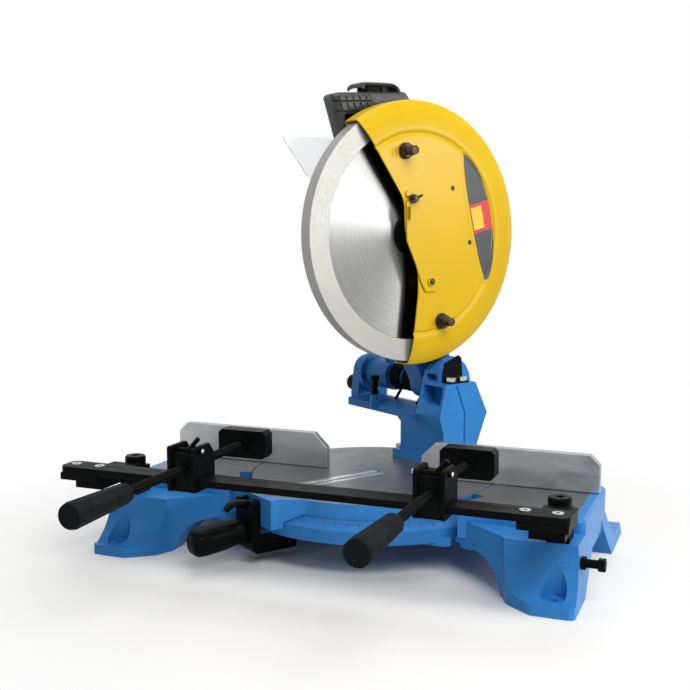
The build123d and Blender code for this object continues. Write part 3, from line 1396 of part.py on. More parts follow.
# Turntable
for make in (turntable, handle_bracket, mitre_grip, detent_lever, hinge_post, hinge_pin, chip_plate,
             lock_knob, return_spring):
    save(make.__name__, make(), at=turned)
for make in (kerf_plates, post_bolts, plate_bolts, stop_bolt):
    save(make.__name__, *make(), at=turned)

# Head and drive
for make in (head_arm, gear_cover, motor_housing, motor_cap, stator, upper_guard, switch_cover, chip_shield,
             cord_gland, trigger, lower_guard, arbor_cover, wing_bolt, output_gear, spindle, blade,
             arbor_bolt, armature, fan):
    save(make.__name__, make(), at=headed)
for make in (bearings, brush_caps, guard_bolts, blade_flanges):
    save(make.__name__, *make(), at=headed)
save("handle_left", handle_half((handle_x[0], handle_split)), at=headed)
save("handle_right", handle_half((handle_split, handle_x[1])), at=headed)
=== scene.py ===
# %% [markdown]
# # A dry-cut mitre saw, dressed
# The saw's solids come from its CAD model, at their real size and place. This lesson gives them finishes,
# softens their edges and adds the small surfaces that a solid model leaves out. Sizes on the saw are in
# millimetres, as on a drawing, and helpers turn them into Blender's metres; the studio is in metres.

import bmesh
import bpy
import numpy as np
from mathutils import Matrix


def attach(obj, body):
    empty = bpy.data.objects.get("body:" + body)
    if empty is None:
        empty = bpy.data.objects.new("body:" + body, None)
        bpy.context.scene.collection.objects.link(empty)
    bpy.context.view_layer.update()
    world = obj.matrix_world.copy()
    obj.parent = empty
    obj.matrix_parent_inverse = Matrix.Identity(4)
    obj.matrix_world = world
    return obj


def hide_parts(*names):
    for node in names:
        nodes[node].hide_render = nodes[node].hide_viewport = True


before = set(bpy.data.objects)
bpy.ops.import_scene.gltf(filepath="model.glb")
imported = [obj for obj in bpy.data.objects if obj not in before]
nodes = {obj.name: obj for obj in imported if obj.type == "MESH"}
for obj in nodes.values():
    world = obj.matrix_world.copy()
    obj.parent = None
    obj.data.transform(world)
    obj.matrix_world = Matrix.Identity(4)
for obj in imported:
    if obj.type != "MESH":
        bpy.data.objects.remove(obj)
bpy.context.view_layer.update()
scene = bpy.context.scene
scene.view_settings.view_transform = "Standard"

# %% [markdown]
# ## Camera
# A product photograph is matched by a camera with the same place, direction and field of view. It could be
# set by eye, but this view was solved from the straight edges of the clamp bar and the base: a place in
# millimetres, two angles and a lens on a 36 mm wide sensor.

# %% Camera
camera_place = (525.86, -1381.93, 466.97)
camera_yaw = 21.9
camera_down = 6.66
camera_lens = 53.55

camera_data = bpy.data.cameras.new("camera")
camera_data.sensor_width = 36.0
camera_data.lens = camera_lens
camera = bpy.data.objects.new("camera", camera_data)
camera.location = np.array(camera_place) / 1000
camera.rotation_euler = np.radians([90 - camera_down, 0, camera_yaw])
scene.collection.objects.link(camera)
scene.camera = camera
print("camera at", camera_place, "lens", camera_lens)

# %% [markdown]
# ## White world
# Behind the saw there is plain white. A white dome would also light the saw from every side and wash its
# colours out. So the world has two strengths: white for rays from the camera, off a shiny face or through
# glass, and a weak grey for the light that falls on the saw.

# %% World
fill_strength = 0.24
white_strength = 1.0


def plug(made, inputs):
    """Set inputs of a node: to a value, or with a link where a socket is given."""
    for key, value in inputs.items():
        if isinstance(value, bpy.types.NodeSocket):
            made.id_data.links.new(value, made.inputs[key])
        else:
            made.inputs[key].default_value = value


def node(tree, kind, inputs=None, **settings):
    """New shader node with these settings and inputs. Returns its outputs."""
    made = tree.nodes.new("ShaderNode" + kind)
    for key, value in settings.items():
        setattr(made, key, value)
    plug(made, inputs or {})
    return made.outputs


world = bpy.data.worlds.new("studio")
scene.world = world
world.use_nodes = True
sky = world.node_tree
sky.nodes.clear()
rays = node(sky, "LightPath")
looking = rays["Is Camera Ray"]
for kind in ("Is Glossy Ray", "Is Transmission Ray"):
    looking = node(sky, "Math", {0: looking, 1: rays[kind]}, operation="MAXIMUM")[0]
fill = node(sky, "Background", {"Color": (1, 1, 1, 1), "Strength": fill_strength})[0]
white = node(sky, "Background", {"Color": (1, 1, 1, 1), "Strength": white_strength})[0]
chosen = node(sky, "MixShader", {"Fac": looking, 1: fill, 2: white})[0]
node(sky, "OutputWorld", {"Surface": chosen})
print("world: fill light", fill_strength, "and background", white_strength)

# %% [markdown]
# ## Floor
# The saw stands on a white sweep that catches its shadow and then vanishes in the white behind it. A plain
# sheet would end in a grey line across the picture. So the paint turns clear with the distance from the
# saw.

# %% Floor
floor_half = 6.0
fade_start = 0.22
fade_end = 0.75

floor_mesh = bpy.data.meshes.new("floor")
floor_corners = floor_half * np.array([(-1, -1, 0), (1, -1, 0), (1, 1, 0), (-1, 1, 0)])
floor_mesh.from_pydata(floor_corners.tolist(), [], [(0, 1, 2, 3)])
floor = bpy.data.objects.new("floor", floor_mesh)
scene.collection.objects.link(floor)

floor_paint = bpy.data.materials.new("white_sweep")
floor_paint.use_nodes = True
tree = floor_paint.node_tree
dull_white = tree.nodes["Principled BSDF"]
plug(dull_white, {"Base Color": (0.9, 0.89, 0.875, 1), "Roughness": 0.9, "Specular IOR Level": 0.1})
place = node(tree, "TexCoord")["Object"]
away = node(tree, "VectorMath", {0: place}, operation="LENGTH")["Value"]
fade = node(tree, "MapRange", {"Value": away, "From Min": fade_start, "From Max": fade_end},
            interpolation_type="SMOOTHSTEP")["Result"]
clear = node(tree, "BsdfTransparent")[0]
mix = node(tree, "MixShader", {"Fac": fade, 1: dull_white.outputs[0], 2: clear})[0]
plug(tree.nodes["Material Output"], {"Surface": mix})
floor_mesh.materials.append(floor_paint)
print("floor fades from", fade_start, "to", fade_end, "m from the middle")

# %% [markdown]
# ## Lamps
# One large lamp above and to the right gives the lit faces. Two small ones are the sheen on the guard and
# the streak on the blade, a weak one at the left opens the shadows, and one over the back lights the table.
# Point lamps would throw hard shadows; area lamps soften them by their size.

# %% Lamps
def lamp(name, place, target, size, watts):
    """Area lamp of this width and height at one point, facing another; all in metres."""
    data = bpy.data.lights.new(name, "AREA")
    data.shape = "RECTANGLE"
    data.size, data.size_y = size
    data.energy = watts
    made = bpy.data.objects.new(name, data)
    away = np.array(target, float) - np.array(place, float)
    flat = np.hypot(away[0], away[1])
    made.location = place
    made.rotation_euler = (np.arctan2(flat, -away[2]), 0, np.arctan2(-away[0], away[1]))
    scene.collection.objects.link(made)
    return made


lamps = [
    lamp("key", place=(1.35, -1.3, 2.0), target=(0, 0, 0.25), size=(1.6, 1.6), watts=52),
    lamp("sheen", place=(2.5, 0.42, 0.8), target=(0, 0, 0.5), size=(0.35, 0.45), watts=9),
    lamp("streak", place=(2.5, -0.2, 0.66), target=(0, 0, 0.5), size=(0.3, 0.3), watts=13),
    lamp("fill", place=(-2.2, -1.6, 1.6), target=(0, 0, 0.2), size=(1.6, 1.6), watts=6),
    lamp("top", place=(-0.2, 0.8, 2.6), target=(0, 0, 0.2), size=(2.2, 1.6), watts=20),
]
print("lamps:", ", ".join(made.name for made in lamps))

# %% [markdown]
# ## A kit for finishes
# Each finish is one shader with its plain values on its sockets. What changes over the surface could be
# painted, but then each piece needs a picture. Here it is noise on Object coordinates, which are metres in
# the saw's own frame: a grain has the same real size on every piece and stays put when the piece moves.

# %% Finish helpers
noise_low = 0.2
noise_high = 0.8


def linear(hex_code):
    """Linear RGBA of a screen colour: a channel c is ((c + 0.055) / 1.055) ^ 2.4, or c / 12.92 if dark."""
    c = np.array([int(hex_code[i:i + 2], 16) for i in (0, 2, 4)]) / 255
    return (*np.where(c < 0.04045, c / 12.92, ((c + 0.055) / 1.055) ** 2.4), 1.0)


def finish(name, colour, rough, metal=0.0, coat=0.0, coat_rough=0.12, gloss=0.5):
    """New material with these values on its shader. Returns the material and its shader."""
    made = bpy.data.materials.new(name)
    made.use_nodes = True
    shader = made.node_tree.nodes["Principled BSDF"]
    plug(shader, {"Base Color": linear(colour), "Roughness": rough, "Metallic": metal, "Coat Weight": coat,
                  "Coat Roughness": coat_rough, "Specular IOR Level": gloss})
    return made, shader


def noise(shader, per_metre, detail=3.0, stretch=(1, 1, 1), uv=None):
    """Noise with so many grains a metre, stretched along the axes; over a named UV map if there is one."""
    tree = shader.id_data
    place = node(tree, "UVMap", uv_map=uv)["UV"] if uv else node(tree, "TexCoord")["Object"]
    stretched = node(tree, "Mapping", {"Vector": place, "Scale": stretch})["Vector"]
    return node(tree, "TexNoise", {"Vector": stretched, "Scale": per_metre, "Detail": detail})["Fac"]


def spread(shader, value, shaded_groove_faces, high):
    """The range that nearly all of a noise keeps to, carried to the range low to high."""
    ends = {"From Min": noise_low, "From Max": noise_high, "To Min": shaded_groove_faces, "To Max": high}
    return node(shader.id_data, "MapRange", {"Value": value, **ends})["Result"]


def blend(shader, factor, a, b):
    """Base colour mixed from two colours by a factor from 0 to 1."""
    mixed = node(shader.id_data, "Mix", {"Factor": factor, "A": a, "B": b}, data_type="RGBA")["Result"]
    plug(shader, {"Base Color": mixed})


def tint(shader, value, dark, light):
    """Base colour that runs from dark to light with a noise."""
    blend(shader, spread(shader, value, 0, 1), linear(dark), linear(light))


def roughen(shader, value, shaded_groove_faces, high):
    """Roughness that runs from low to high with a noise."""
    plug(shader, {"Roughness": spread(shader, value, shaded_groove_faces, high)})


def bump(shader, value, deep, strength=0.5):
    """Relief of the given depth in millimetres. A second call adds to the first."""
    inputs = {"Strength": strength, "Distance": deep / 1000, "Height": value}
    before = shader.inputs["Normal"].links
    if before:
        inputs["Normal"] = before[0].from_socket
    plug(shader, {"Normal": node(shader.id_data, "Bump", inputs)["Normal"]})


print("finish helpers ready")

# %% [markdown]
# ## Enamel: blue castings and the yellow guard
# Both are sprayed. The sand-cast skin of the castings shows through as slow waves, and the paint dries with
# a fine orange peel; on the pressed guard only the peel is left. One noise could do for both, but their
# sizes differ much, so each has its own bump. A thin clear coat gives the sharp reflection.

# %% Enamels
def blue(name):
    """The blue enamel, as a new material."""
    made, shader = finish(name, "317EC4", 0.36, coat=0.04, gloss=0.14)
    tint(shader, noise(shader, 9), "2B77BC", "3886CC")
    bump(shader, noise(shader, 45), 0.35, 0.35)
    bump(shader, noise(shader, 420, 2), 0.05, 0.35)
    roughen(shader, noise(shader, 60), 0.28, 0.42)
    return made, shader


blue_enamel, shader = blue("blue_enamel")

yellow_enamel, shader = finish("yellow_enamel", "DCB20C", 0.4, coat=0.3, coat_rough=0.25, gloss=0.06)
tint(shader, noise(shader, 7), "D8AD08", "E0B912")
bump(shader, noise(shader, 380, 2), 0.05, 0.3)
roughen(shader, noise(shader, 50), 0.34, 0.46)

# Near black with a faint grain: painted shade. It stands for the dark inside the guard's sheet, in its holes
# and in the handle's grooves.
painted_shade, shader = finish("painted_shade", "17170F", 0.6)
tint(shader, noise(shader, 120), "0E0E0B", "262318")
bump(shader, noise(shader, 300), 0.06)
print("enamels: blue, yellow and the dull inside of the guard")

# %% [markdown]
# ## Black parts: steel, plastic and rubber
# The clamps and the bar are blackened steel, the knobs moulded plastic, the handle a greyer plastic and the
# grips dull rubber. One black would make them a single dark mass; roughness and grain tell them apart.

# %% Blacks
black_steel, shader = finish("black_steel", "080909", 0.4, gloss=0.04)
tint(shader, noise(shader, 70, 5), "050606", "0D0E0E")
bump(shader, noise(shader, 500, 2), 0.03, 0.3)
roughen(shader, noise(shader, 90, 4), 0.32, 0.48)

black_plastic, shader = finish("black_plastic", "080909", 0.4, gloss=0.04)
tint(shader, noise(shader, 40), "050606", "0B0C0C")
bump(shader, noise(shader, 1400, 2), 0.04, 0.3)
roughen(shader, noise(shader, 200), 0.26, 0.42)

handle_plastic, shader = finish("handle_plastic", "2B2D2D", 0.42, gloss=0.45)
tint(shader, noise(shader, 40), "252727", "313333")
bump(shader, noise(shader, 1400, 2), 0.05, 0.35)
roughen(shader, noise(shader, 200), 0.34, 0.5)

rubber, shader = finish("rubber", "181C1D", 0.62, gloss=0.04)
tint(shader, noise(shader, 60, 4), "131718", "1E2324")
bump(shader, noise(shader, 900, 3), 0.08, 0.5)
roughen(shader, noise(shader, 150), 0.62, 0.82)
print("blacks: steel, two plastics and rubber")

# %% [markdown]
# ## Bare metal
# Screws are zinc plated, the lower guard is pressed sheet, the nuts are bronzed and the motor's core is a
# stack of iron plates. Scratches drawn one by one would never show, so fine noise in the roughness stands
# for them; the plates are noise squeezed along the motor's axis.

# %% Metals
bare_steel, shader = finish("bare_steel", "C6C7C9", 0.28, metal=1.0)
tint(shader, noise(shader, 150, 4), "B4B5B8", "D2D2D2")
roughen(shader, noise(shader, 400, 3), 0.2, 0.42)

guard_alloy, shader = finish("guard_alloy", "A5A49E", 0.46, metal=0.4)
tint(shader, noise(shader, 12, 4), "9C9B95", "ABAAA4")
roughen(shader, noise(shader, 240, 4), 0.36, 0.5)
bump(shader, noise(shader, 500, 2), 0.02, 0.3)

dark_bronze, shader = finish("dark_bronze", "40382C", 0.42, metal=0.9)
tint(shader, noise(shader, 260, 4), "332C22", "51483A")
roughen(shader, noise(shader, 300, 3), 0.34, 0.55)

core_iron, shader = finish("core_iron", "6B5A4A", 0.45, metal=1.0)
tint(shader, noise(shader, 300, 2, stretch=(6, 1, 1)), "5A4A3C", "7D6A58")
print("metals: screws, lower guard, bronzed nuts and motor iron")

# %% [markdown]
# ## Milled table and fence
# The table and the top of the turntable are milled bare after painting, so paint and metal share one
# casting. Two materials would need its faces sorted; a mask on Object coordinates does it in one. A cutter
# leaves lines in one direction, which is noise stretched along it. The fence is milled all over.

# %% Milled faces
wing_face_x = (-322, 322)
wing_face_y = (-88, 90)
wing_face_z = (94.6, 97)
turntable_face_y = (-138, 230)
turntable_face_z = (95.6, 97)


def mill_lines(shader):
    """Noise drawn out along x and packed along y."""
    return noise(shader, 60, 4, stretch=(0.4, 14, 1))


def between(shader, axis, shaded_groove_faces, high):
    """1 where the Object coordinate along an axis lies between two values in millimetres, else 0."""
    tree = shader.id_data
    along = node(tree, "SeparateXYZ", {0: node(tree, "TexCoord")["Object"]})[axis]
    middle = (shaded_groove_faces + high) / 2000
    reach = (high - shaded_groove_faces) / 2000
    return node(tree, "Math", {0: along, 1: middle, 2: reach}, operation="COMPARE")[0]


def both(shader, a, b):
    """Product of two values."""
    return node(shader.id_data, "Math", {0: a, 1: b}, operation="MULTIPLY")[0]


def mill(shader, mask):
    """Cut the paint away where the mask is 1: bare grey metal with fine lines across it."""
    lines = mill_lines(shader)
    paint = shader.inputs["Base Color"].links[0].from_socket
    tint(shader, lines, "5C5F62", "787B7E")
    bare = shader.inputs["Base Color"].links[0].from_socket
    blend(shader, mask, paint, bare)
    plug(shader, {"Metallic": both(shader, mask, spread(shader, lines, 0.6, 0.8))})


milled_wings, shader = blue("milled_wings")
wing_plan = both(shader, between(shader, "X", *wing_face_x), between(shader, "Y", *wing_face_y))
mill(shader, both(shader, wing_plan, between(shader, "Z", *wing_face_z)))

milled_turntable, shader = blue("milled_turntable")
mill(shader, both(shader, between(shader, "Y", *turntable_face_y), between(shader, "Z", *turntable_face_z)))

milled_face, shader = finish("milled_face", "A9ABAD", 0.38, metal=1.0)
lines = mill_lines(shader)
tint(shader, lines, "96989A", "B9BBBC")
roughen(shader, lines, 0.3, 0.5)
bump(shader, lines, 0.03, 0.4)
print("milled faces: table", wing_face_x, "by", wing_face_y, "mm, turntable and fence")

# %% [markdown]
# ## Ring-ground blade
# The blade is ground in rings, and light on such steel makes bright wedges that run out from the middle. A
# painted wedge would turn with the blade. Anisotropy makes it from the light itself; it follows a tangent,
# which is taken from the blade's own UV map.

# %% Blade steel
blade_steel, shader = finish("blade_steel", "8E8E8C", 0.34, metal=1.0)
tangent = node(shader.id_data, "Tangent", direction_type="UV_MAP", uv_map="ground")["Tangent"]
plug(shader, {"Anisotropic": 0.92, "Tangent": tangent})
rings = noise(shader, 1, 6, stretch=(260, 0.5, 1), uv="ground")
tint(shader, rings, "80807F", "9C9C9A")
roughen(shader, rings, 0.28, 0.4)
bump(shader, rings, 0.01, 0.25)
print("blade steel follows the UV map ground")

# %% [markdown]
# ## Clear plate, label and scale colours
# The chip shield is a clear plate, so light passes through it and only its edges show. A see-through mix
# would lose those edges; transmission keeps them. The label is printed in three plain colours and the scale
# in dark ticks.

# %% Clear and printed finishes
clear_plate, shader = finish("clear_plate", "F4F7F7", 0.12)
plug(shader, {"Transmission Weight": 0.92, "IOR": 1.3})
roughen(shader, noise(shader, 80), 0.08, 0.2)

slate_print, shader = finish("slate_print", "2A3036", 0.42)
tint(shader, noise(shader, 90), "262C32", "2F363C")
red_print, shader = finish("red_print", "C8202A", 0.42)
tint(shader, noise(shader, 90), "C01C26", "CF2630")
pale_print, shader = finish("pale_print", "E6C01E", 0.45)
tint(shader, noise(shader, 90), "DFB816", "EBC826")
tick_paint, shader = finish("tick_paint", "142F57", 0.5)
tint(shader, noise(shader, 200), "10284C", "1B3966")
print("clear plate, label prints and tick paint")

# %% [markdown]
# ## Dress the solids
# A solid from CAD has knife edges, and nothing real has. They could be rounded in its mesh, but the solids
# stay untouched: a Weld modifier joins their triangles, a Bevel rounds every edge sharper than a limit, and
# a Weighted Normal keeps flat faces flat. Solids that a finer piece stands for below are left out.

# %% Edge rounds and finishes
dressing = {
    blue_enamel: {"hinge_post": 2.5, "head_arm": 2.0, "gear_cover": 2.0},
    milled_wings: {"base_casting": 3.0},
    milled_turntable: {"turntable": 1.2},
    milled_face: {"fence_left": 1.0, "fence_right": 1.0},
    yellow_enamel: {"arbor_cover": 0.5},
    black_steel: {"rail_arm_left": 1.2, "rail_arm_right": 1.2, "clamp_bar": 0.9, "clamp_bracket_left": 0.9,
                  "clamp_bracket_right": 0.9, "clamp_lever_left": 0.5, "clamp_lever_right": 0.5,
                  "return_spring": 0.0, "chip_plate": 0.4, "side_stop_screw": 0.6, "stop_bolt": 0.5,
                  "blade_flanges": 0.5, "arbor_bolt": 0.5},
    handle_plastic: {"handle_left": 0.6, "handle_right": 0.6},
    black_plastic: {"trigger": 0.8, "motor_housing": 1.0, "motor_cap": 1.2, "cord_gland": 0.8,
                    "brush_caps": 0.6, "rail_knob_left": 1.0, "rail_knob_right": 1.0, "handle_bracket": 2.0,
                    "fan": 0.0, "lock_knob": 1.0, "clamp_pad_left": 1.2, "clamp_pad_right": 1.2},
    bare_steel: {"fence_bolts": 0.5, "turntable_bolt": 0.5, "bar_screws": 0.4, "post_bolts": 0.5,
                 "hinge_pin": 0.6, "plate_bolts": 0.5, "spindle": 0.4, "output_gear": 0.0, "bearings": 0.4,
                 "kerf_plates": 0.4},
    guard_alloy: {"lower_guard": 0.5},
    clear_plate: {"chip_shield": 0.5},
    core_iron: {"stator": 0.0, "armature": 0.0},
}
weld_gap = 0.02
sharp_edge = 32.0


def soften(solid, round_mm):
    """Round the edges of a solid that are sharper than the limit, in degrees, with modifiers only."""
    mesh = solid.data
    if "custom_normal" in mesh.attributes:
        mesh.attributes.remove(mesh.attributes["custom_normal"])
    mesh.polygons.foreach_set("use_smooth", np.ones(len(mesh.polygons), bool))
    weld = solid.modifiers.new("weld", "WELD")
    weld.merge_threshold = weld_gap / 1000
    edge = solid.modifiers.new("round", "BEVEL")
    edge.width = round_mm / 1000
    edge.segments = 3
    edge.limit_method = "ANGLE"
    edge.angle_limit = np.radians(sharp_edge)
    edge.miter_outer = "MITER_ARC"
    level = solid.modifiers.new("flat", "WEIGHTED_NORMAL")
    level.weight = 80


for paint, group in dressing.items():
    for name, round_mm in group.items():
        nodes[name].data.materials.clear()
        nodes[name].data.materials.append(paint)
        if round_mm > 0:
            soften(nodes[name], round_mm)
print("dressed", sum(len(group) for group in dressing.values()), "solids in", len(dressing), "finishes")

# %% [markdown]
# ## Three frames and a grid of points
# The saw was drawn in three frames: the base, the turntable at mitre zero, and the head measured from the
# blade's centre. Pieces drawn where they stand would hold the mitre angle in every number, so each is
# written in its own frame and carried over at the end. Each is a surface over a grid of two parameters: its
# points are whole arrays, and its faces follow from the rows and columns.

# %% Frames and surface helpers
mitre_rest = np.radians(32.73)
mitre_y = 40.0
blade_centre = np.array([0, 70.86, 453.7])
merge_gap = 2e-6


def from_turntable(points):
    """Points of the turntable at mitre zero, turned back by the resting angle about its upright axis."""
    x, y, z = np.moveaxis(np.asarray(points, float), -1, 0)
    c, s = np.cos(mitre_rest), np.sin(mitre_rest)
    return np.stack([x * c + y * s, y * c - x * s + mitre_y, z], -1)


def from_head(points):
    """Points measured from the blade's centre: x along the spindle, y to the back, z up."""
    return from_turntable(np.asarray(points, float) + blade_centre)


def full_turn(steps):
    """Angles of a whole turn in equal steps, without the last one, which is the first again."""
    return np.linspace(0, 2 * np.pi, steps, endpoint=False)


def around_x(along, radius, turn):
    """Points at a distance along x, and off it by the radius times the cosine in y and the sine in z."""
    along, radius, turn = np.broadcast_arrays(along, radius, turn)
    return np.stack([along, radius * np.cos(turn), radius * np.sin(turn)], -1)


def sheet(rows, cols, round_rows=False, round_cols=False):
    """Quads of a grid of points; a round direction joins its last line to its first."""
    i = np.arange(rows if round_rows else rows - 1)[:, None]
    j = np.arange(cols if round_cols else cols - 1)[None, :]
    near, far = i * cols, (i + 1) % rows * cols
    left, right = j, (j + 1) % cols
    corners = np.broadcast_arrays(near + left, near + right, far + right, far + left)
    return np.stack(corners, -1).reshape(-1, 4)


def piece(name, points, faces, paints, body, stands_for=(), sharp=40.0):
    """Object of these points in millimetres; edges sharper than the angle in degrees stay crisp."""
    mesh = bpy.data.meshes.new(name)
    mesh.from_pydata((points.reshape(-1, 3) / 1000).tolist(), [], faces.tolist())
    merged = bmesh.new()
    merged.from_mesh(mesh)
    bmesh.ops.remove_doubles(merged, verts=merged.verts, dist=merge_gap)
    bmesh.ops.recalc_face_normals(merged, faces=merged.faces)
    merged.to_mesh(mesh)
    merged.free()
    mesh.polygons.foreach_set("use_smooth", np.ones(len(mesh.polygons), bool))
    mesh.set_sharp_from_angle(angle=np.radians(sharp))
    for paint in paints:
        mesh.materials.append(paint)
    made = bpy.data.objects.new(name, mesh)
    scene.collection.objects.link(made)
    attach(made, body)
    if stands_for:
        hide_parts(*stands_for)
    print(name, "on", body, len(mesh.polygons), "faces")
    return made


print("a turntable point 100 mm ahead of the axis is at", from_turntable([0, -100, 0]).round(1))

# %% [markdown]
# ## Saw blade
# A dry-cut blade is a ground steel disc with eighty carbide teeth. Teeth could be cut from a disc one by
# one; a polar grid, once on each face, is quicker. Only its outer rows know about teeth: there the radius
# climbs along the back of each tooth and drops at its face.

# %% Blade
blade_r = 177.5
blade_half = 1.2
blade_teeth = 80
tooth_deep = 6.0
tooth_phase = (0, 0.12, 0.3, 0.6, 0.94, 1)
tooth_drop = (0.9, 1.0, 0.75, 0.28, 0.0, 0.9)
steps_a_tooth = 10
edge_land = 1.0
edge_chamfer = 0.3
inner_r = np.array([16.0, 34.0, 60.0, 90.0, 120.0, 145.0, 160.0, blade_r - tooth_deep - 4.0])

turn = full_turn(blade_teeth * steps_a_tooth)
phase = turn * blade_teeth / (2 * np.pi) % 1.0
edge_r = blade_r - tooth_deep * np.interp(phase, tooth_phase, tooth_drop)
rows_r = np.concatenate([np.repeat(inner_r[:, None], turn.size, 1), edge_r[None] - edge_land, edge_r[None]])
rows_x = np.concatenate([np.full(len(inner_r), blade_half), [blade_half, blade_half - edge_chamfer]])
path_r = np.concatenate([rows_r, rows_r[::-1]])
path_x = np.concatenate([rows_x, -rows_x[::-1]])[:, None]
points = around_x(path_x, path_r, turn)
blade = piece("saw_blade", from_head(points), sheet(len(path_r), turn.size, True, True), [blade_steel],
              "spindle", ["blade"], sharp=30)
print("blade", 2 * blade_r, "mm across,", blade_teeth, "teeth")

# %% [markdown]
# ## Grinding direction
# The light on the blade needs to know which way it was ground. An unwrapped UV map would lie flat across
# the disc. This one is polar: u grows with the radius and v with the angle, so the tangent points outward
# everywhere. A face that crosses the seam gets its small angles moved up by a whole turn.

# %% UV map of the blade
u_a_metre = 5

mesh = blade.data
corner = np.empty(len(mesh.loops), np.int32)
mesh.loops.foreach_get("vertex_index", corner)
place = np.empty(len(mesh.vertices) * 3, np.float32)
mesh.vertices.foreach_get("co", place)
out = (place.reshape(-1, 3) - from_head([0, 0, 0]) / 1000)[corner]
level = out @ np.array([np.sin(mitre_rest), np.cos(mitre_rest), 0])
around = (np.arctan2(out[:, 2], level) / (2 * np.pi) % 1.0).reshape(-1, 4)
around += (np.ptp(around, axis=1, keepdims=True) > 0.5) & (around < 0.5)
uv = np.stack([np.hypot(out[:, 2], level) * u_a_metre, around.ravel()], -1)
mesh.uv_layers.new(name="ground").data.foreach_set("uv", uv.astype(np.float32).ravel())
print("u runs from", uv[:, 0].min().round(3), "to", uv[:, 0].max().round(3))

# %% [markdown]
# ## Upper guard: the cut front edge
# The guard covers the back of the blade and is cut open at the front, along a short chain of lines with
# rounded corners. A Boolean cut would leave ragged faces. Here the edge is known as radius and angle, and
# for every radius its two points are looked up, above the middle and below.

# %% Guard edge
edge_corners = np.array([
    (-128.0, 184.0), (-31.0, 50.0), (-29.0, 2.0), (-4.0, -52.0), (-3.0, -88.0), (-19.0, -217.0)])
edge_round = 13.0


def rounded(corners, r, steps=9):
    """Chain of corners with each inner one replaced by a parabola that starts and ends r away from it."""
    before, at, after = corners[:-2], corners[1:-1], corners[2:]
    enter = at + r * (before - at) / np.linalg.norm(before - at, axis=1, keepdims=True)
    leave = at + r * (after - at) / np.linalg.norm(after - at, axis=1, keepdims=True)
    t = np.linspace(0, 1, steps)[:, None, None]
    arcs = (1 - t) ** 2 * enter + 2 * t * (1 - t) * at + t ** 2 * leave
    return np.concatenate([corners[:1], arcs.transpose(1, 0, 2).reshape(-1, 2), corners[-1:]])


front_edge = rounded(edge_corners, edge_round)
share = np.linspace(0, 1, 40)[:, None]
front_edge = np.concatenate([a + share[:-1] * (b - a) for a, b in zip(front_edge[:-1], front_edge[1:])])
front_r = np.hypot(*front_edge.T)
front_angle = np.unwrap(np.arctan2(front_edge[:, 1], front_edge[:, 0]))
nearest = front_r.argmin()


def edge_angles(r):
    """Angles at which a circle of this radius leaves the sheet above and below."""
    above = np.interp(r, front_r[nearest::-1], front_angle[nearest::-1])
    below = np.interp(r, front_r[nearest:], front_angle[nearest:]) - 2 * np.pi
    return above, below


print("guard edge comes to", round(front_r.min(), 1), "mm from the middle")

# %% [markdown]
# ## Upper guard: the pressed sheet
# The guard is pressed from one sheet: a flat face, a groove all round, a shoulder that rolls over to the
# rim, and a back plate. In section that is one path, and each of its points is swept round the blade until
# it meets the cut edge. Two skins could be drawn; a Solidify modifier needs only one. The inside is painted
# near black as painted shade, except for the rim, which is painted yellow.

# %% Upper guard
guard_r = 197.0
guard_sheet = 2.0
guard_face_x = 22.0
guard_back_x = -17.0
guard_back_hole_r = 44.0
guard_back_edge_r = 190.0
guard_window_r = 22.0
ring_groove_r = 148.5
ring_groove_deep = 2.0
ring_groove_wide = 2.3
ring_bead_r = 157.0
ring_bead_high = 0.5
ring_bead_wide = 5.0
shoulder_r = 158
shoulder_wide = 37
shoulder_fall = 8.2
shoulder_power = 2.2
roll_r = 4
roll_start = 0.35
roll_drop = 0.3
back_roll_r = 3
painted_rim_r = 187
guard_columns = 420


def guard_face(r):
    """Depth x of the pressed face: a groove and a bead outside it, each a bell curve over the radius, and a
    shoulder that falls as a power of the radius."""
    groove = ring_groove_deep * np.exp(-((r - ring_groove_r) / ring_groove_wide) ** 2)
    bead = ring_bead_high * np.exp(-((r - ring_bead_r) / ring_bead_wide) ** 2)
    fall = shoulder_fall * (np.clip(r - shoulder_r, 0, None) / shoulder_wide) ** shoulder_power
    return guard_face_x - groove + bead - fall


roll_from = guard_r - roll_r
face_r = np.concatenate([np.linspace(guard_window_r, 30, 12), np.linspace(32, 142, 30),
                         np.linspace(144, shoulder_r, 15), np.linspace(shoulder_r + 2, roll_from, 12)])
roll = np.linspace(roll_start, np.pi / 2, 6)
roll_x = guard_face(roll_from) - roll_r * (1 - np.cos(roll)) - roll_drop
rim_x = np.linspace(roll_x[-1] - roll_r, guard_back_x + back_roll_r, 6)
back_roll = np.linspace(0, np.pi / 2, 5)
back_r = np.linspace(guard_back_edge_r, guard_back_hole_r, 24)
path = np.concatenate([
    np.stack([guard_face(face_r), face_r], -1),
    np.stack([roll_x, roll_from + roll_r * np.sin(roll)], -1),
    np.stack([rim_x, np.full(rim_x.size, guard_r)], -1),
    np.stack([guard_back_x + back_roll_r - back_roll_r * np.sin(back_roll),
              guard_r - back_roll_r + back_roll_r * np.cos(back_roll)], -1),
    np.stack([np.full(back_r.size, guard_back_x), back_r], -1)])
above, below = edge_angles(path[:, 1])
turn = above[:, None] + np.linspace(0, 1, guard_columns) * (below - above)[:, None]
points = around_x(path[:, :1], path[:, 1:], turn)
guard = piece("upper_guard_sheet", from_head(points), sheet(*turn.shape),
              [yellow_enamel, painted_shade, yellow_enamel, yellow_enamel], "head",
              ["upper_guard"], sharp=50)
# Solidify gives the inside the next material in the list: painted shade after the first, yellow after the
# third.
row_paint = np.where(path[:-1, 1] > painted_rim_r, 2, 0)
guard.data.polygons.foreach_set("material_index", np.repeat(row_paint, guard_columns - 1).astype(np.int32))
thick = guard.modifiers.new("sheet", "SOLIDIFY")
thick.thickness = guard_sheet / 1000
thick.offset = -1.0
thick.material_offset = 1

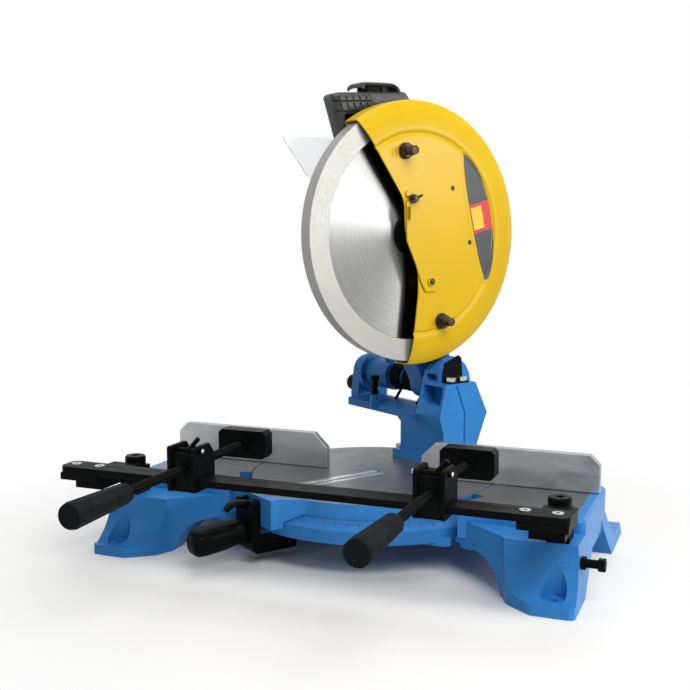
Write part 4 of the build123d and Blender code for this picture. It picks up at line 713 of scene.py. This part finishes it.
# %% [markdown]
# ## Label plate
# A printed plate is stuck on the right of the guard's face. Its outline is a lens with a nearly straight
# side and a round one. A flat cut-out would sink into the groove, so the plate is a grid that lies on the
# face everywhere. It is slate at its ends and red across the middle, with a yellow patch in the red.

# %% Label plate
label_top = np.array([81.0, 126.0])
label_low = np.array([132.0, -78.0])
label_bow = (-6.0, 38.0)
label_blunt = 0.72
label_tip = 0.04
label_rows = 121
label_cols = 21
label_thick = 0.4
label_lift = 0.05
red_part = (0.39, 0.61)
patch_half = 0.085
patch_part = (0.04, 0.5)


def lens_side(bow, t):
    """Side of the lens at t from 0 to 1: the line between the tips pushed out by a parabola to a power."""
    along = label_low - label_top
    across = np.array([-along[1], along[0]]) / np.hypot(*along)
    return label_top + t[:, None] * along + ((4 * t * (1 - t)) ** label_blunt * bow)[:, None] * across


t = 0.5 - 0.5 * np.cos(np.linspace(label_tip, np.pi - label_tip, label_rows))
left, right = lens_side(label_bow[0], t), lens_side(label_bow[1], t)
s = np.linspace(0, 1, label_cols)[None, :, None]
flat = left[:, None] + s * (right - left)[:, None]
lift = guard_face(np.hypot(flat[..., 0], flat[..., 1])) + label_lift
points = np.stack([lift, flat[..., 0], flat[..., 1]], -1)
label = piece("label_plate", from_head(points), sheet(label_rows, label_cols),
              [slate_print, red_print, pale_print], "head")
along, across = t[:-1, None], np.linspace(0, 0.95, label_cols - 1)
colour = np.where((along > red_part[0]) & (along < red_part[1]), 1, 0) + 0 * across
in_patch = (abs(along - 0.5) < patch_half) & (across > patch_part[0]) & (across < patch_part[1])
colour = np.where(in_patch, 2, colour)
label.data.polygons.foreach_set("material_index", colour.astype(np.int32).ravel())
plate = label.modifiers.new("sheet", "SOLIDIFY")
plate.thickness = label_thick / 1000
plate.offset = 1.0

# %% [markdown]
# ## Border of the label
# The sheet is pressed up in a low border round the label. The guard's grid runs in circles and can't follow
# the lens, so the border is a piece of its own: a flat round section, half sunk in the sheet, carried along
# the outline a little further out.

# %% Label border
border_r = 1.7
border_out = 4
border_flat = 2.2
border_high = 0.8
border_sunk = 0.85


def smoothed(values, reach, ends="edge"):
    """Each value replaced by the mean of itself and so many neighbours on each side."""
    count = 2 * reach + 1
    return np.convolve(np.pad(values, reach, ends), np.ones(count) / count, "valid")


t = np.linspace(0, 1, 160)
straight = lens_side(label_bow[0] - border_out, t)
loop = np.concatenate([straight, lens_side(label_bow[1] + border_out, t[::-1])])
loop = loop[np.r_[True, np.linalg.norm(np.diff(loop, axis=0), axis=1) > 0.01]]
smooth = np.stack([smoothed(c, 3, "wrap") for c in loop.T], -1)
way = np.roll(smooth, -1, 0) - np.roll(smooth, 1, 0)
out = np.stack([way[:, 1], -way[:, 0]], -1) / np.linalg.norm(way, axis=1, keepdims=True)
ring = full_turn(12)
ring_at = smooth[:, None] + out[:, None] * (border_flat * border_r * np.cos(ring))[None, :, None]
ring_up = np.minimum(guard_face(np.hypot(ring_at[..., 0], ring_at[..., 1])), guard_face_x)
ring_up = ring_up - border_sunk + border_r * np.sin(ring) * border_high
points = np.stack([ring_up, ring_at[..., 0], ring_at[..., 1]], -1)
piece("label_border", from_head(points), sheet(len(smooth), ring.size, True, True), [yellow_enamel], "head")

# %% [markdown]
# ## Screw threads
# The clamp screws are threaded over their whole length. A coil laid on a rod would give two crossing skins.
# A thread is simpler as a rod whose radius is a zigzag, once each pitch along the rod and shifted by one
# pitch round it.

# %% Clamp screws
clamp_x = {"left": -149.0, "right": 182.3}
screw_r = 6.0
screw_z = 156.0
screw_y = (-470.0, -88.3)
screw_pitch = 3.0
screw_deep = 0.8
flank_slope = 1.6
crest_land = 0.3


def thread(r, start, end, pitch, deep, steps=24, rows_a_pitch=5):
    """Closed rod along x: radius r less a zigzag in x / pitch plus angle / turn, cut flat at its crests."""
    along = np.linspace(start, end, int(abs(end - start) / pitch * rows_a_pitch))
    turn = full_turn(steps)
    wave = np.abs((along[:, None] / pitch + turn / (2 * np.pi)) % 1.0 - 0.5) * 2
    radius = r - deep * np.clip(wave * flank_slope - crest_land, 0, 1)
    radius[[0, -1]] = r - 1.2 * deep
    ends = np.concatenate([along[:1], along, along[-1:]])
    radius = np.concatenate([0 * radius[:1], radius, 0 * radius[-1:]])
    return around_x(ends[:, None], radius, turn)


def closed(points):
    """Faces of a grid that is round in its columns."""
    return sheet(points.shape[0], points.shape[1], False, True)


for side, x in clamp_x.items():
    rod = thread(screw_r, *screw_y, screw_pitch, screw_deep)[..., [1, 0, 2]] + (x, 0, screw_z)
    piece("clamp_screw_" + side, rod, closed(rod), [black_steel], "clamp_rod_" + side,
          ["clamp_rod_" + side], sharp=60)

# %% [markdown]
# ## Nuts and studs on the guard
# Each stud stands out of a hexagon nut on a round washer. A cylinder of six sides would lack the rounded
# corners that a chamfer leaves. As a formula, a hexagon is a circle whose radius is divided by the cosine
# of the angle from the nearest flat, and a chamfer is the smaller of that and a cone.

# %% Nuts and studs
stud_at = ((-31.0, 121.0), (42.0, -132.0))
stud_r = 6.8
stud_x = (31.0, 46.6)
stud_pitch = 1.75
stud_deep = 0.6
nut_flat_r = 10.0
nut = [(23.2, 0), (23.2, 11.0), (24.4, 11.7), (30.4, 11.7), (31.8, 10.0), (31.8, 0)]
washer = [(21.6, 0), (21.6, 11.8), (22.0, 12.2), (22.9, 12.2), (23.2, 11.7), (23.2, 0)]


def polygon(turn, sides):
    """Radius of a polygon of flat radius 1: one over the cosine of the angle from the nearest flat."""
    return 1 / np.cos((turn + np.pi / sides) % (2 * np.pi / sides) - np.pi / sides)


def spun_x(profile, steps, around=(0.0, 0.0), flat_r=np.inf):
    """Points of a profile of (x, radius) pairs spun about a line along x through (y, z), and held inside a
    hexagon of this flat radius."""
    along, r = np.asarray(profile, float).T[:, :, None]
    turn = full_turn(steps)
    return around_x(along, np.minimum(r, flat_r * polygon(turn, 6)), turn) + (0, *around)


def joined(shapes):
    """Points and faces of several closed grids in one piece."""
    begin = np.cumsum([0] + [s.shape[0] * s.shape[1] for s in shapes[:-1]])
    points = np.concatenate([s.reshape(-1, 3) for s in shapes])
    return points, np.concatenate([closed(s) + n for s, n in zip(shapes, begin)])


shapes = []
for at in stud_at:
    stud = thread(stud_r, *stud_x, stud_pitch, stud_deep) + (0, *at)
    shapes += [spun_x(nut, 72, at, nut_flat_r), spun_x(washer, 40, at), stud]
points, faces = joined(shapes)
piece("guard_nuts", from_head(points), faces, [dark_bronze], "head", ["guard_bolts"],
      sharp=35)

# %% [markdown]
# ## Small fittings on the guard
# Two spare holes in the guard's face show as black dots. Cutting them would tear the guard's grid, so each
# gets a flat dark disc: painted shade where the hole would be. The arbor cover turns on a bronzed rivet and
# is held by a bolt with two short wings. These are spun profiles, and a wing is a flattened ball.

# %% Holes, rivet and wing bolt
hole_at = ((62.0, 69.0), (98.0, -13.0))
hole_shade_disc = [(21.8, 0), (21.8, 3.8), (22.12, 3.8), (22.12, 0)]
rivet_at = (19.0, -71.0)
rivet = [(27.2, 0), (27.2, 4.9), (28.1, 4.9), (28.6, 4.2), (28.7, 0)]
wing_at = (-18.0, 52.0)
wing_hub = [(25.3, 0), (25.3, 7.2), (27.2, 7.2), (27.3, 5.2), (33.6, 4.8), (34.4, 4.0), (34.4, 0)]
wing_x = 33.5
wing_turn = 28.0
wing_reach = 7.5
wing_radii = (4.6, 5.4, 1.7)


def ball(middle, radii, turned, rows=13, steps=24):
    """Ball with three radii, turned about x in degrees: x is the cosine of the latitude, y and z its sine
    times the cosine and the sine of the longitude."""
    up = np.linspace(0, np.pi, rows)[:, None]
    turn = full_turn(steps)
    x = radii[0] * np.cos(up) + 0 * turn
    y = radii[1] * np.sin(up) * np.cos(turn)
    z = radii[2] * np.sin(up) * np.sin(turn)
    c, s = np.cos(np.radians(turned)), np.sin(np.radians(turned))
    return np.stack([x, y * c - z * s, y * s + z * c], -1) + middle


# Flat discs in the painted shade material: painted shade for the two holes.
points, faces = joined([spun_x(hole_shade_disc, 32, at) for at in hole_at])
piece("guard_hole_shades", from_head(points), faces, [painted_shade], "head")

points, faces = joined([spun_x(rivet, 40, rivet_at)])
piece("cover_rivet", from_head(points), faces, [dark_bronze], "arbor_cover")

reach_y = wing_reach * np.cos(np.radians(wing_turn))
reach_z = wing_reach * np.sin(np.radians(wing_turn))
wing_middles = [(wing_x, wing_at[0] + k * reach_y, wing_at[1] + k * reach_z) for k in (-1, 1)]
wings = [ball(middle, wing_radii, wing_turn) for middle in wing_middles]
points, faces = joined([spun_x(wing_hub, 32, wing_at), *wings])
piece("wing_bolt_head", from_head(points), faces, [dark_bronze], "wing_bolt", ["wing_bolt"])

# %% [markdown]
# ## Pin ends of the clamps
# The pin that each half-nut lever turns on ends in a bright dome on both sides of its bracket. A ball would
# stand out too far; a low dome is a short profile spun about the pin, and the other end is the same turned
# round.

# %% Pin ends
pin_end = np.array([24.5, -252.0, 178.5])
dome = [(-0.8, 0), (-0.8, 3.4), (0.2, 3.4), (0.8, 2.6), (1.1, 1.2), (1.15, 0)]

for side, x in clamp_x.items():
    ends = [spun_x(dome, 24) * (k, 1, 1) + pin_end * (k, 1, 1) + (x, 0, 0) for k in (-1, 1)]
    points, faces = joined(ends)
    piece("pin_ends_" + side, points, faces, [bare_steel], "clamp_lever_" + side)

# %% [markdown]
# ## Clamp grips
# Each clamp screw ends in a long rubber grip with eight flats that taper toward the clamp and melt into a
# blunt end. A cylinder of eight sides would keep its corners to the very end, so the section is the
# polygon's formula mixed with a circle, by an amount that changes along the grip.

# %% Clamp grips
grip_y = (-498.0, -390.0)
grip_r = 14.7
grip_sides = 8
round_r = 1.03
swell_at = (0, 0.01, 0.03, 0.05, 0.97, 0.99, 1)
swell_share = (0.9, 0.97, 1.0, 1.0, 0.8, 0.78, 0.7)
flat_at = (0, 0.02, 0.06, 0.95, 1)
flat_share = (0, 0.3, 1, 1, 0.6)


def along_grip(rows):
    """Shares from 0 to 1 along a grip, with both ends twice, so that the outer ones can close it."""
    return np.concatenate([np.zeros(1), np.linspace(0, 1, rows), np.ones(1)])


u = along_grip(110)
turn = full_turn(128)
swell = np.interp(u, swell_at, swell_share)
swell[[0, -1]] = 0
flats = np.interp(u, flat_at, flat_share)[:, None]
radius = grip_r * swell[:, None] * (flats * polygon(turn, grip_sides) + (1 - flats) * round_r)
along = grip_y[0] + u * (grip_y[1] - grip_y[0])
for side, x in clamp_x.items():
    points = around_x(along[:, None], radius, turn)[..., [1, 0, 2]] + (x, 0, screw_z)
    piece("clamp_grip_skin_" + side, points, closed(points), [rubber], "clamp_rod_" + side,
          ["clamp_grip_" + side], sharp=28)

# %% [markdown]
# ## Mitre grip
# The grip that swings the turntable is a fat moulded handle with a collar at the bracket. A box with a big
# bevel would come close, but the swelling needs a section that changes along it: a superellipse, where sine
# and cosine raised to a power turn a circle into a soft square. The grip is drawn along its own axis and
# tipped down.

# %% Mitre grip
mitre_grip_root = (0.0, -224.0, 46.0)
mitre_grip_droop = np.radians(4.2)
mitre_grip_long = 82.0
mitre_grip_gap = 0.4
mitre_grip_power = 0.78
mitre_grip_at = (0, 0.03, 0.1, 0.2, 0.4, 0.75, 0.9, 0.965, 0.99, 1)
mitre_grip_half = (13, 16, 17, 15.5, 18, 19, 18.2, 16, 13, 10)


def soft_square(turn, side_power, up_power):
    """Superellipse of half size 1: cosine and sine of the angle, each with its size raised to a power."""
    across = np.sign(np.cos(turn)) * np.abs(np.cos(turn)) ** side_power
    up = np.sign(np.sin(turn)) * np.abs(np.sin(turn)) ** up_power
    return across, up


u = along_grip(60)
half = smoothed(np.interp(u, mitre_grip_at, mitre_grip_half), 2)
half[[0, -1]] = 0
wide, tall = soft_square(full_turn(72), mitre_grip_power, mitre_grip_power)
back = -u * mitre_grip_long - mitre_grip_gap
points = np.stack([half[:, None] * wide, back[:, None] + 0 * wide, half[:, None] * tall], -1)
c, s = np.cos(mitre_grip_droop), np.sin(mitre_grip_droop)
droop = np.array([[1, 0, 0], [0, c, -s], [0, s, c]])
points = points @ droop.T + mitre_grip_root
piece("mitre_grip_skin", from_turntable(points), closed(points), [black_plastic], "mitre_grip",
      ["mitre_grip"], sharp=50)

# %% [markdown]
# ## Detent lever
# A thumb lever over the grip lifts the detent out of its notch: a forged strip that narrows and hooks down
# at its tip. A bent box would have one thickness throughout. So its middle line is a short list of points,
# smoothed, and at each of them a soft-cornered section of its own width and thickness stands square to the
# line.

# %% Detent lever
lever_y = (-205.0, -213.0, -224.0, -236.0, -245.0, -251.0, -252.5)
lever_z = (84.0, 84.4, 86.0, 87.4, 85.6, 80.4, 77.5)
lever_wide = (20.0, 20.0, 19.0, 18.0, 16.5, 13.5, 9.0)
lever_thick = (7.6, 7.6, 7.2, 6.8, 6.2, 4.8, 3.0)


def eased(knots, steps, reach):
    """Curve through equally spaced values: straight from one to the next, then smoothed."""
    run = np.interp(np.linspace(0, 1, steps), np.linspace(0, 1, len(knots)), knots)
    return smoothed(run, reach)


lever_knots = (lever_y, lever_z, lever_wide, lever_thick)
mid_y, mid_z, wide, deep = (eased(knots, 61, 4)[:, None] for knots in lever_knots)
way_y, way_z = np.gradient(mid_y, axis=0), np.gradient(mid_z, axis=0)
step = np.hypot(way_y, way_z)
across, over = soft_square(full_turn(40), 0.5, 0.6)
x = wide / 2 * across
y = mid_y - way_z / step * deep / 2 * over
z = mid_z + way_y / step * deep / 2 * over
points = np.stack([x, y, z], -1)
tips = points.mean(1, keepdims=True) + 0 * points
points = np.concatenate([tips[:1], points, tips[-1:]])
piece("detent_hook", from_turntable(points), closed(points), [black_plastic], "detent_lever",
      ["detent_lever"], sharp=50)

# %% [markdown]
# ## Ribbed panel on the handle
# A soft panel with ribs is let into the handle where the fingers close. Ribs could be bars set side by
# side, but moulded ones grow out of one skin. So the panel is a height field: a cushion that falls to
# nothing at its rim, less one groove along it and a row of grooves across it, bent like brackets by the
# square of the height.

# %% Handle panel: heights
panel_deep = 2.2
panel_sunk = 0.4
panel_groove_deep = 2.0
panel_groove_half = 0.13
panel_line_at = 0.6
panel_line_half = 0.05
panel_lean = 0.22
rim_slope_long = 16
rim_slope_wide = 6
ribs = 6

u, v = np.meshgrid(np.linspace(0, 1, 181), np.linspace(0, 1, 41), indexing="ij")
rim = np.minimum(np.minimum(u, 1 - u) * rim_slope_long, np.minimum(v, 1 - v) * rim_slope_wide)
rim = np.clip(rim, 0, 1)
cushion = np.sqrt(1 - (1 - rim) ** 2)
bent = u * ribs - panel_lean * (2 * v - 1) ** 2
groove = np.clip(1 - np.abs((bent + 0.5) % 1 - 0.5) / panel_groove_half, 0, 1)
groove = np.maximum(groove, np.clip(1 - np.abs(v - panel_line_at) / panel_line_half, 0, 1))
high = panel_deep * cushion - panel_groove_deep * groove * rim - panel_sunk
print("panel has", ribs, "ribs and stands up to", high.max().round(2), "mm high")

# %% [markdown]
# ## The panel on its path
# The panel starts on the handle's round nose and runs back along its side. A flat panel could be bent over
# it with a modifier; a path, part of a circle and then a line, needs no setting up. A second skin closes
# the piece from below, and the faces in the grooves are painted dark as painted shade.

# %% Handle panel: skin
panel_x = -28.0
panel_long = 74.0
panel_z = (176.5, 201.0)
panel_rise = 0.078
panel_under = -1.5
nose_r = 12.0
nose_y = -114.0
nose_angle = 1.3
nose_lean = 0.332
handle_top = 203.4
groove_shade_from = 0.35

run = u * panel_long
arc = nose_r * nose_angle
angle = np.clip(arc - run, 0, None) / nose_r
along = nose_y + np.clip(run - arc, 0, None)
up = panel_z[0] + v * (panel_z[1] - panel_z[0]) + panel_rise * (along - nose_y)
back = nose_lean * (handle_top - up)


def panel_at(lift):
    """Points of the path lifted off the handle by so much along its normal."""
    r = nose_r + lift
    return np.stack([panel_x - nose_r + r * np.cos(angle), along + back - r * np.sin(angle), up], -1)


points = np.concatenate([panel_at(high).reshape(-1, 3), panel_at(panel_under).reshape(-1, 3)])
rows, cols = u.shape
grid = sheet(rows, cols)
loop = np.concatenate([np.arange(cols - 1), np.arange(rows - 1) * cols + cols - 1,
                       np.arange(rows * cols - 1, (rows - 1) * cols, -1), np.arange(rows - 1, 0, -1) * cols])
wall = np.stack([loop, np.roll(loop, -1), np.roll(loop, -1) + rows * cols, loop + rows * cols], -1)
panel = piece("handle_panel", from_head(points), np.concatenate([grid, grid[:, ::-1] + rows * cols, wall]),
              [handle_plastic, painted_shade], "head", sharp=60)
# Faces deep in a groove get the painted shade material: painted shade in the grooves.
shaded_groove_faces = np.zeros(len(panel.data.polygons), np.int32)
shaded_groove_faces[:len(grid)] = (groove * rim)[:-1, :-1].ravel() > groove_shade_from
panel.data.polygons.foreach_set("material_index", shaded_groove_faces)

# %% [markdown]
# ## Switch cover
# The switch on top of the handle has a bent sheet over it, like a small roof on a post, with its rear end
# rolled down. A bent box would show a hard fold. The roof is a grid whose height follows one smoothed curve
# and falls a little toward its sides, and a Solidify modifier gives it a thickness. The post is a
# soft-cornered box.

# %% Switch cover
roof_y = (-70.0, -70.4, -69.0, -65.0, -45.0, -20.0, -12.0, -7.0, -3.5, -2.0)
roof_z = (214.5, 217.5, 220.0, 221.0, 222.0, 223.0, 222.2, 219.6, 215.6, 210.5)
roof_x = (-66.0, -27.0)
roof_sheet = 4.0
roof_round = 0.6
roof_drop = 2.4
post_x = (-58.0, -34.0)
post_y = (-62.0, -28.0)
post_z = (204.0, 219.5)
post_power = 0.3

across = np.linspace(-1, 1, 33)
x = np.mean(roof_x) + np.ptp(roof_x) / 2 * across
y = eased(roof_y, 73, 3)[:, None]
z = eased(roof_z, 73, 3)[:, None] - roof_drop * np.abs(across) ** 8
points = np.stack(np.broadcast_arrays(x, y, z), -1)
roof = piece("switch_roof", from_head(points), sheet(*z.shape), [handle_plastic], "head",
             ["switch_cover"])
thick = roof.modifiers.new("sheet", "SOLIDIFY")
thick.thickness = roof_sheet / 1000
thick.offset = 0.0
edge = roof.modifiers.new("round", "BEVEL")
edge.width = roof_round / 1000
edge.segments = 2

square_x, square_y = soft_square(full_turn(64), post_power, post_power)
share = np.array([0, 1, 1, 0])[:, None]
x = np.mean(post_x) + share * np.ptp(post_x) / 2 * square_x
y = np.mean(post_y) + share * np.ptp(post_y) / 2 * square_y
z = np.repeat(post_z, 2)[:, None] + 0 * square_x
points = np.stack([x, y, z], -1)
piece("switch_post", from_head(points), closed(points), [black_plastic], "head")

# %% [markdown]
# ## Angle scale
# The sloping face in front of the turntable carries the mitre scale: a tick for every degree, longer at
# every fifth and longest at every fifteenth. Ticks in the paint would blur at this size. Each is a thin
# raised bar on the cone, and all are built at once.

# %% Angle scale
cone_top = np.array([185.0, 73.35])
cone_low = np.array([197.2, 63.75])
degrees = np.arange(-50, 51)
length = np.where(degrees % 15 == 0, 0.75, np.where(degrees % 5 == 0, 0.6, 0.42))
half_wide = np.where(degrees % 5 == 0, 0.5, 0.4)
tick_sunk = -0.2
tick_high = 0.12
corner_down = np.array([0, 0, 1, 1, 0, 0, 1, 1])
corner_side = np.array([-1, 1, 1, -1, -1, 1, 1, -1])
corner_up = np.repeat([tick_sunk, tick_high], 4)

slope = cone_low - cone_top
normal = np.array([-slope[1], slope[0]]) / np.hypot(*slope)
ring = cone_top + (length[:, None] * corner_down)[..., None] * slope + corner_up[:, None] * normal
angle = np.radians(degrees)[:, None] + half_wide[:, None] * corner_side / ring[..., 0]
points = np.stack([ring[..., 0] * np.sin(angle), mitre_y - ring[..., 0] * np.cos(angle), ring[..., 1]], -1)
bar = np.array([(0, 3, 2, 1), (4, 5, 6, 7), (0, 1, 5, 4), (1, 2, 6, 5), (2, 3, 7, 6), (3, 0, 4, 7)])
faces = (bar[None] + 8 * np.arange(degrees.size)[:, None, None]).reshape(-1, 4)
piece("angle_scale", points, faces, [tick_paint], "base")
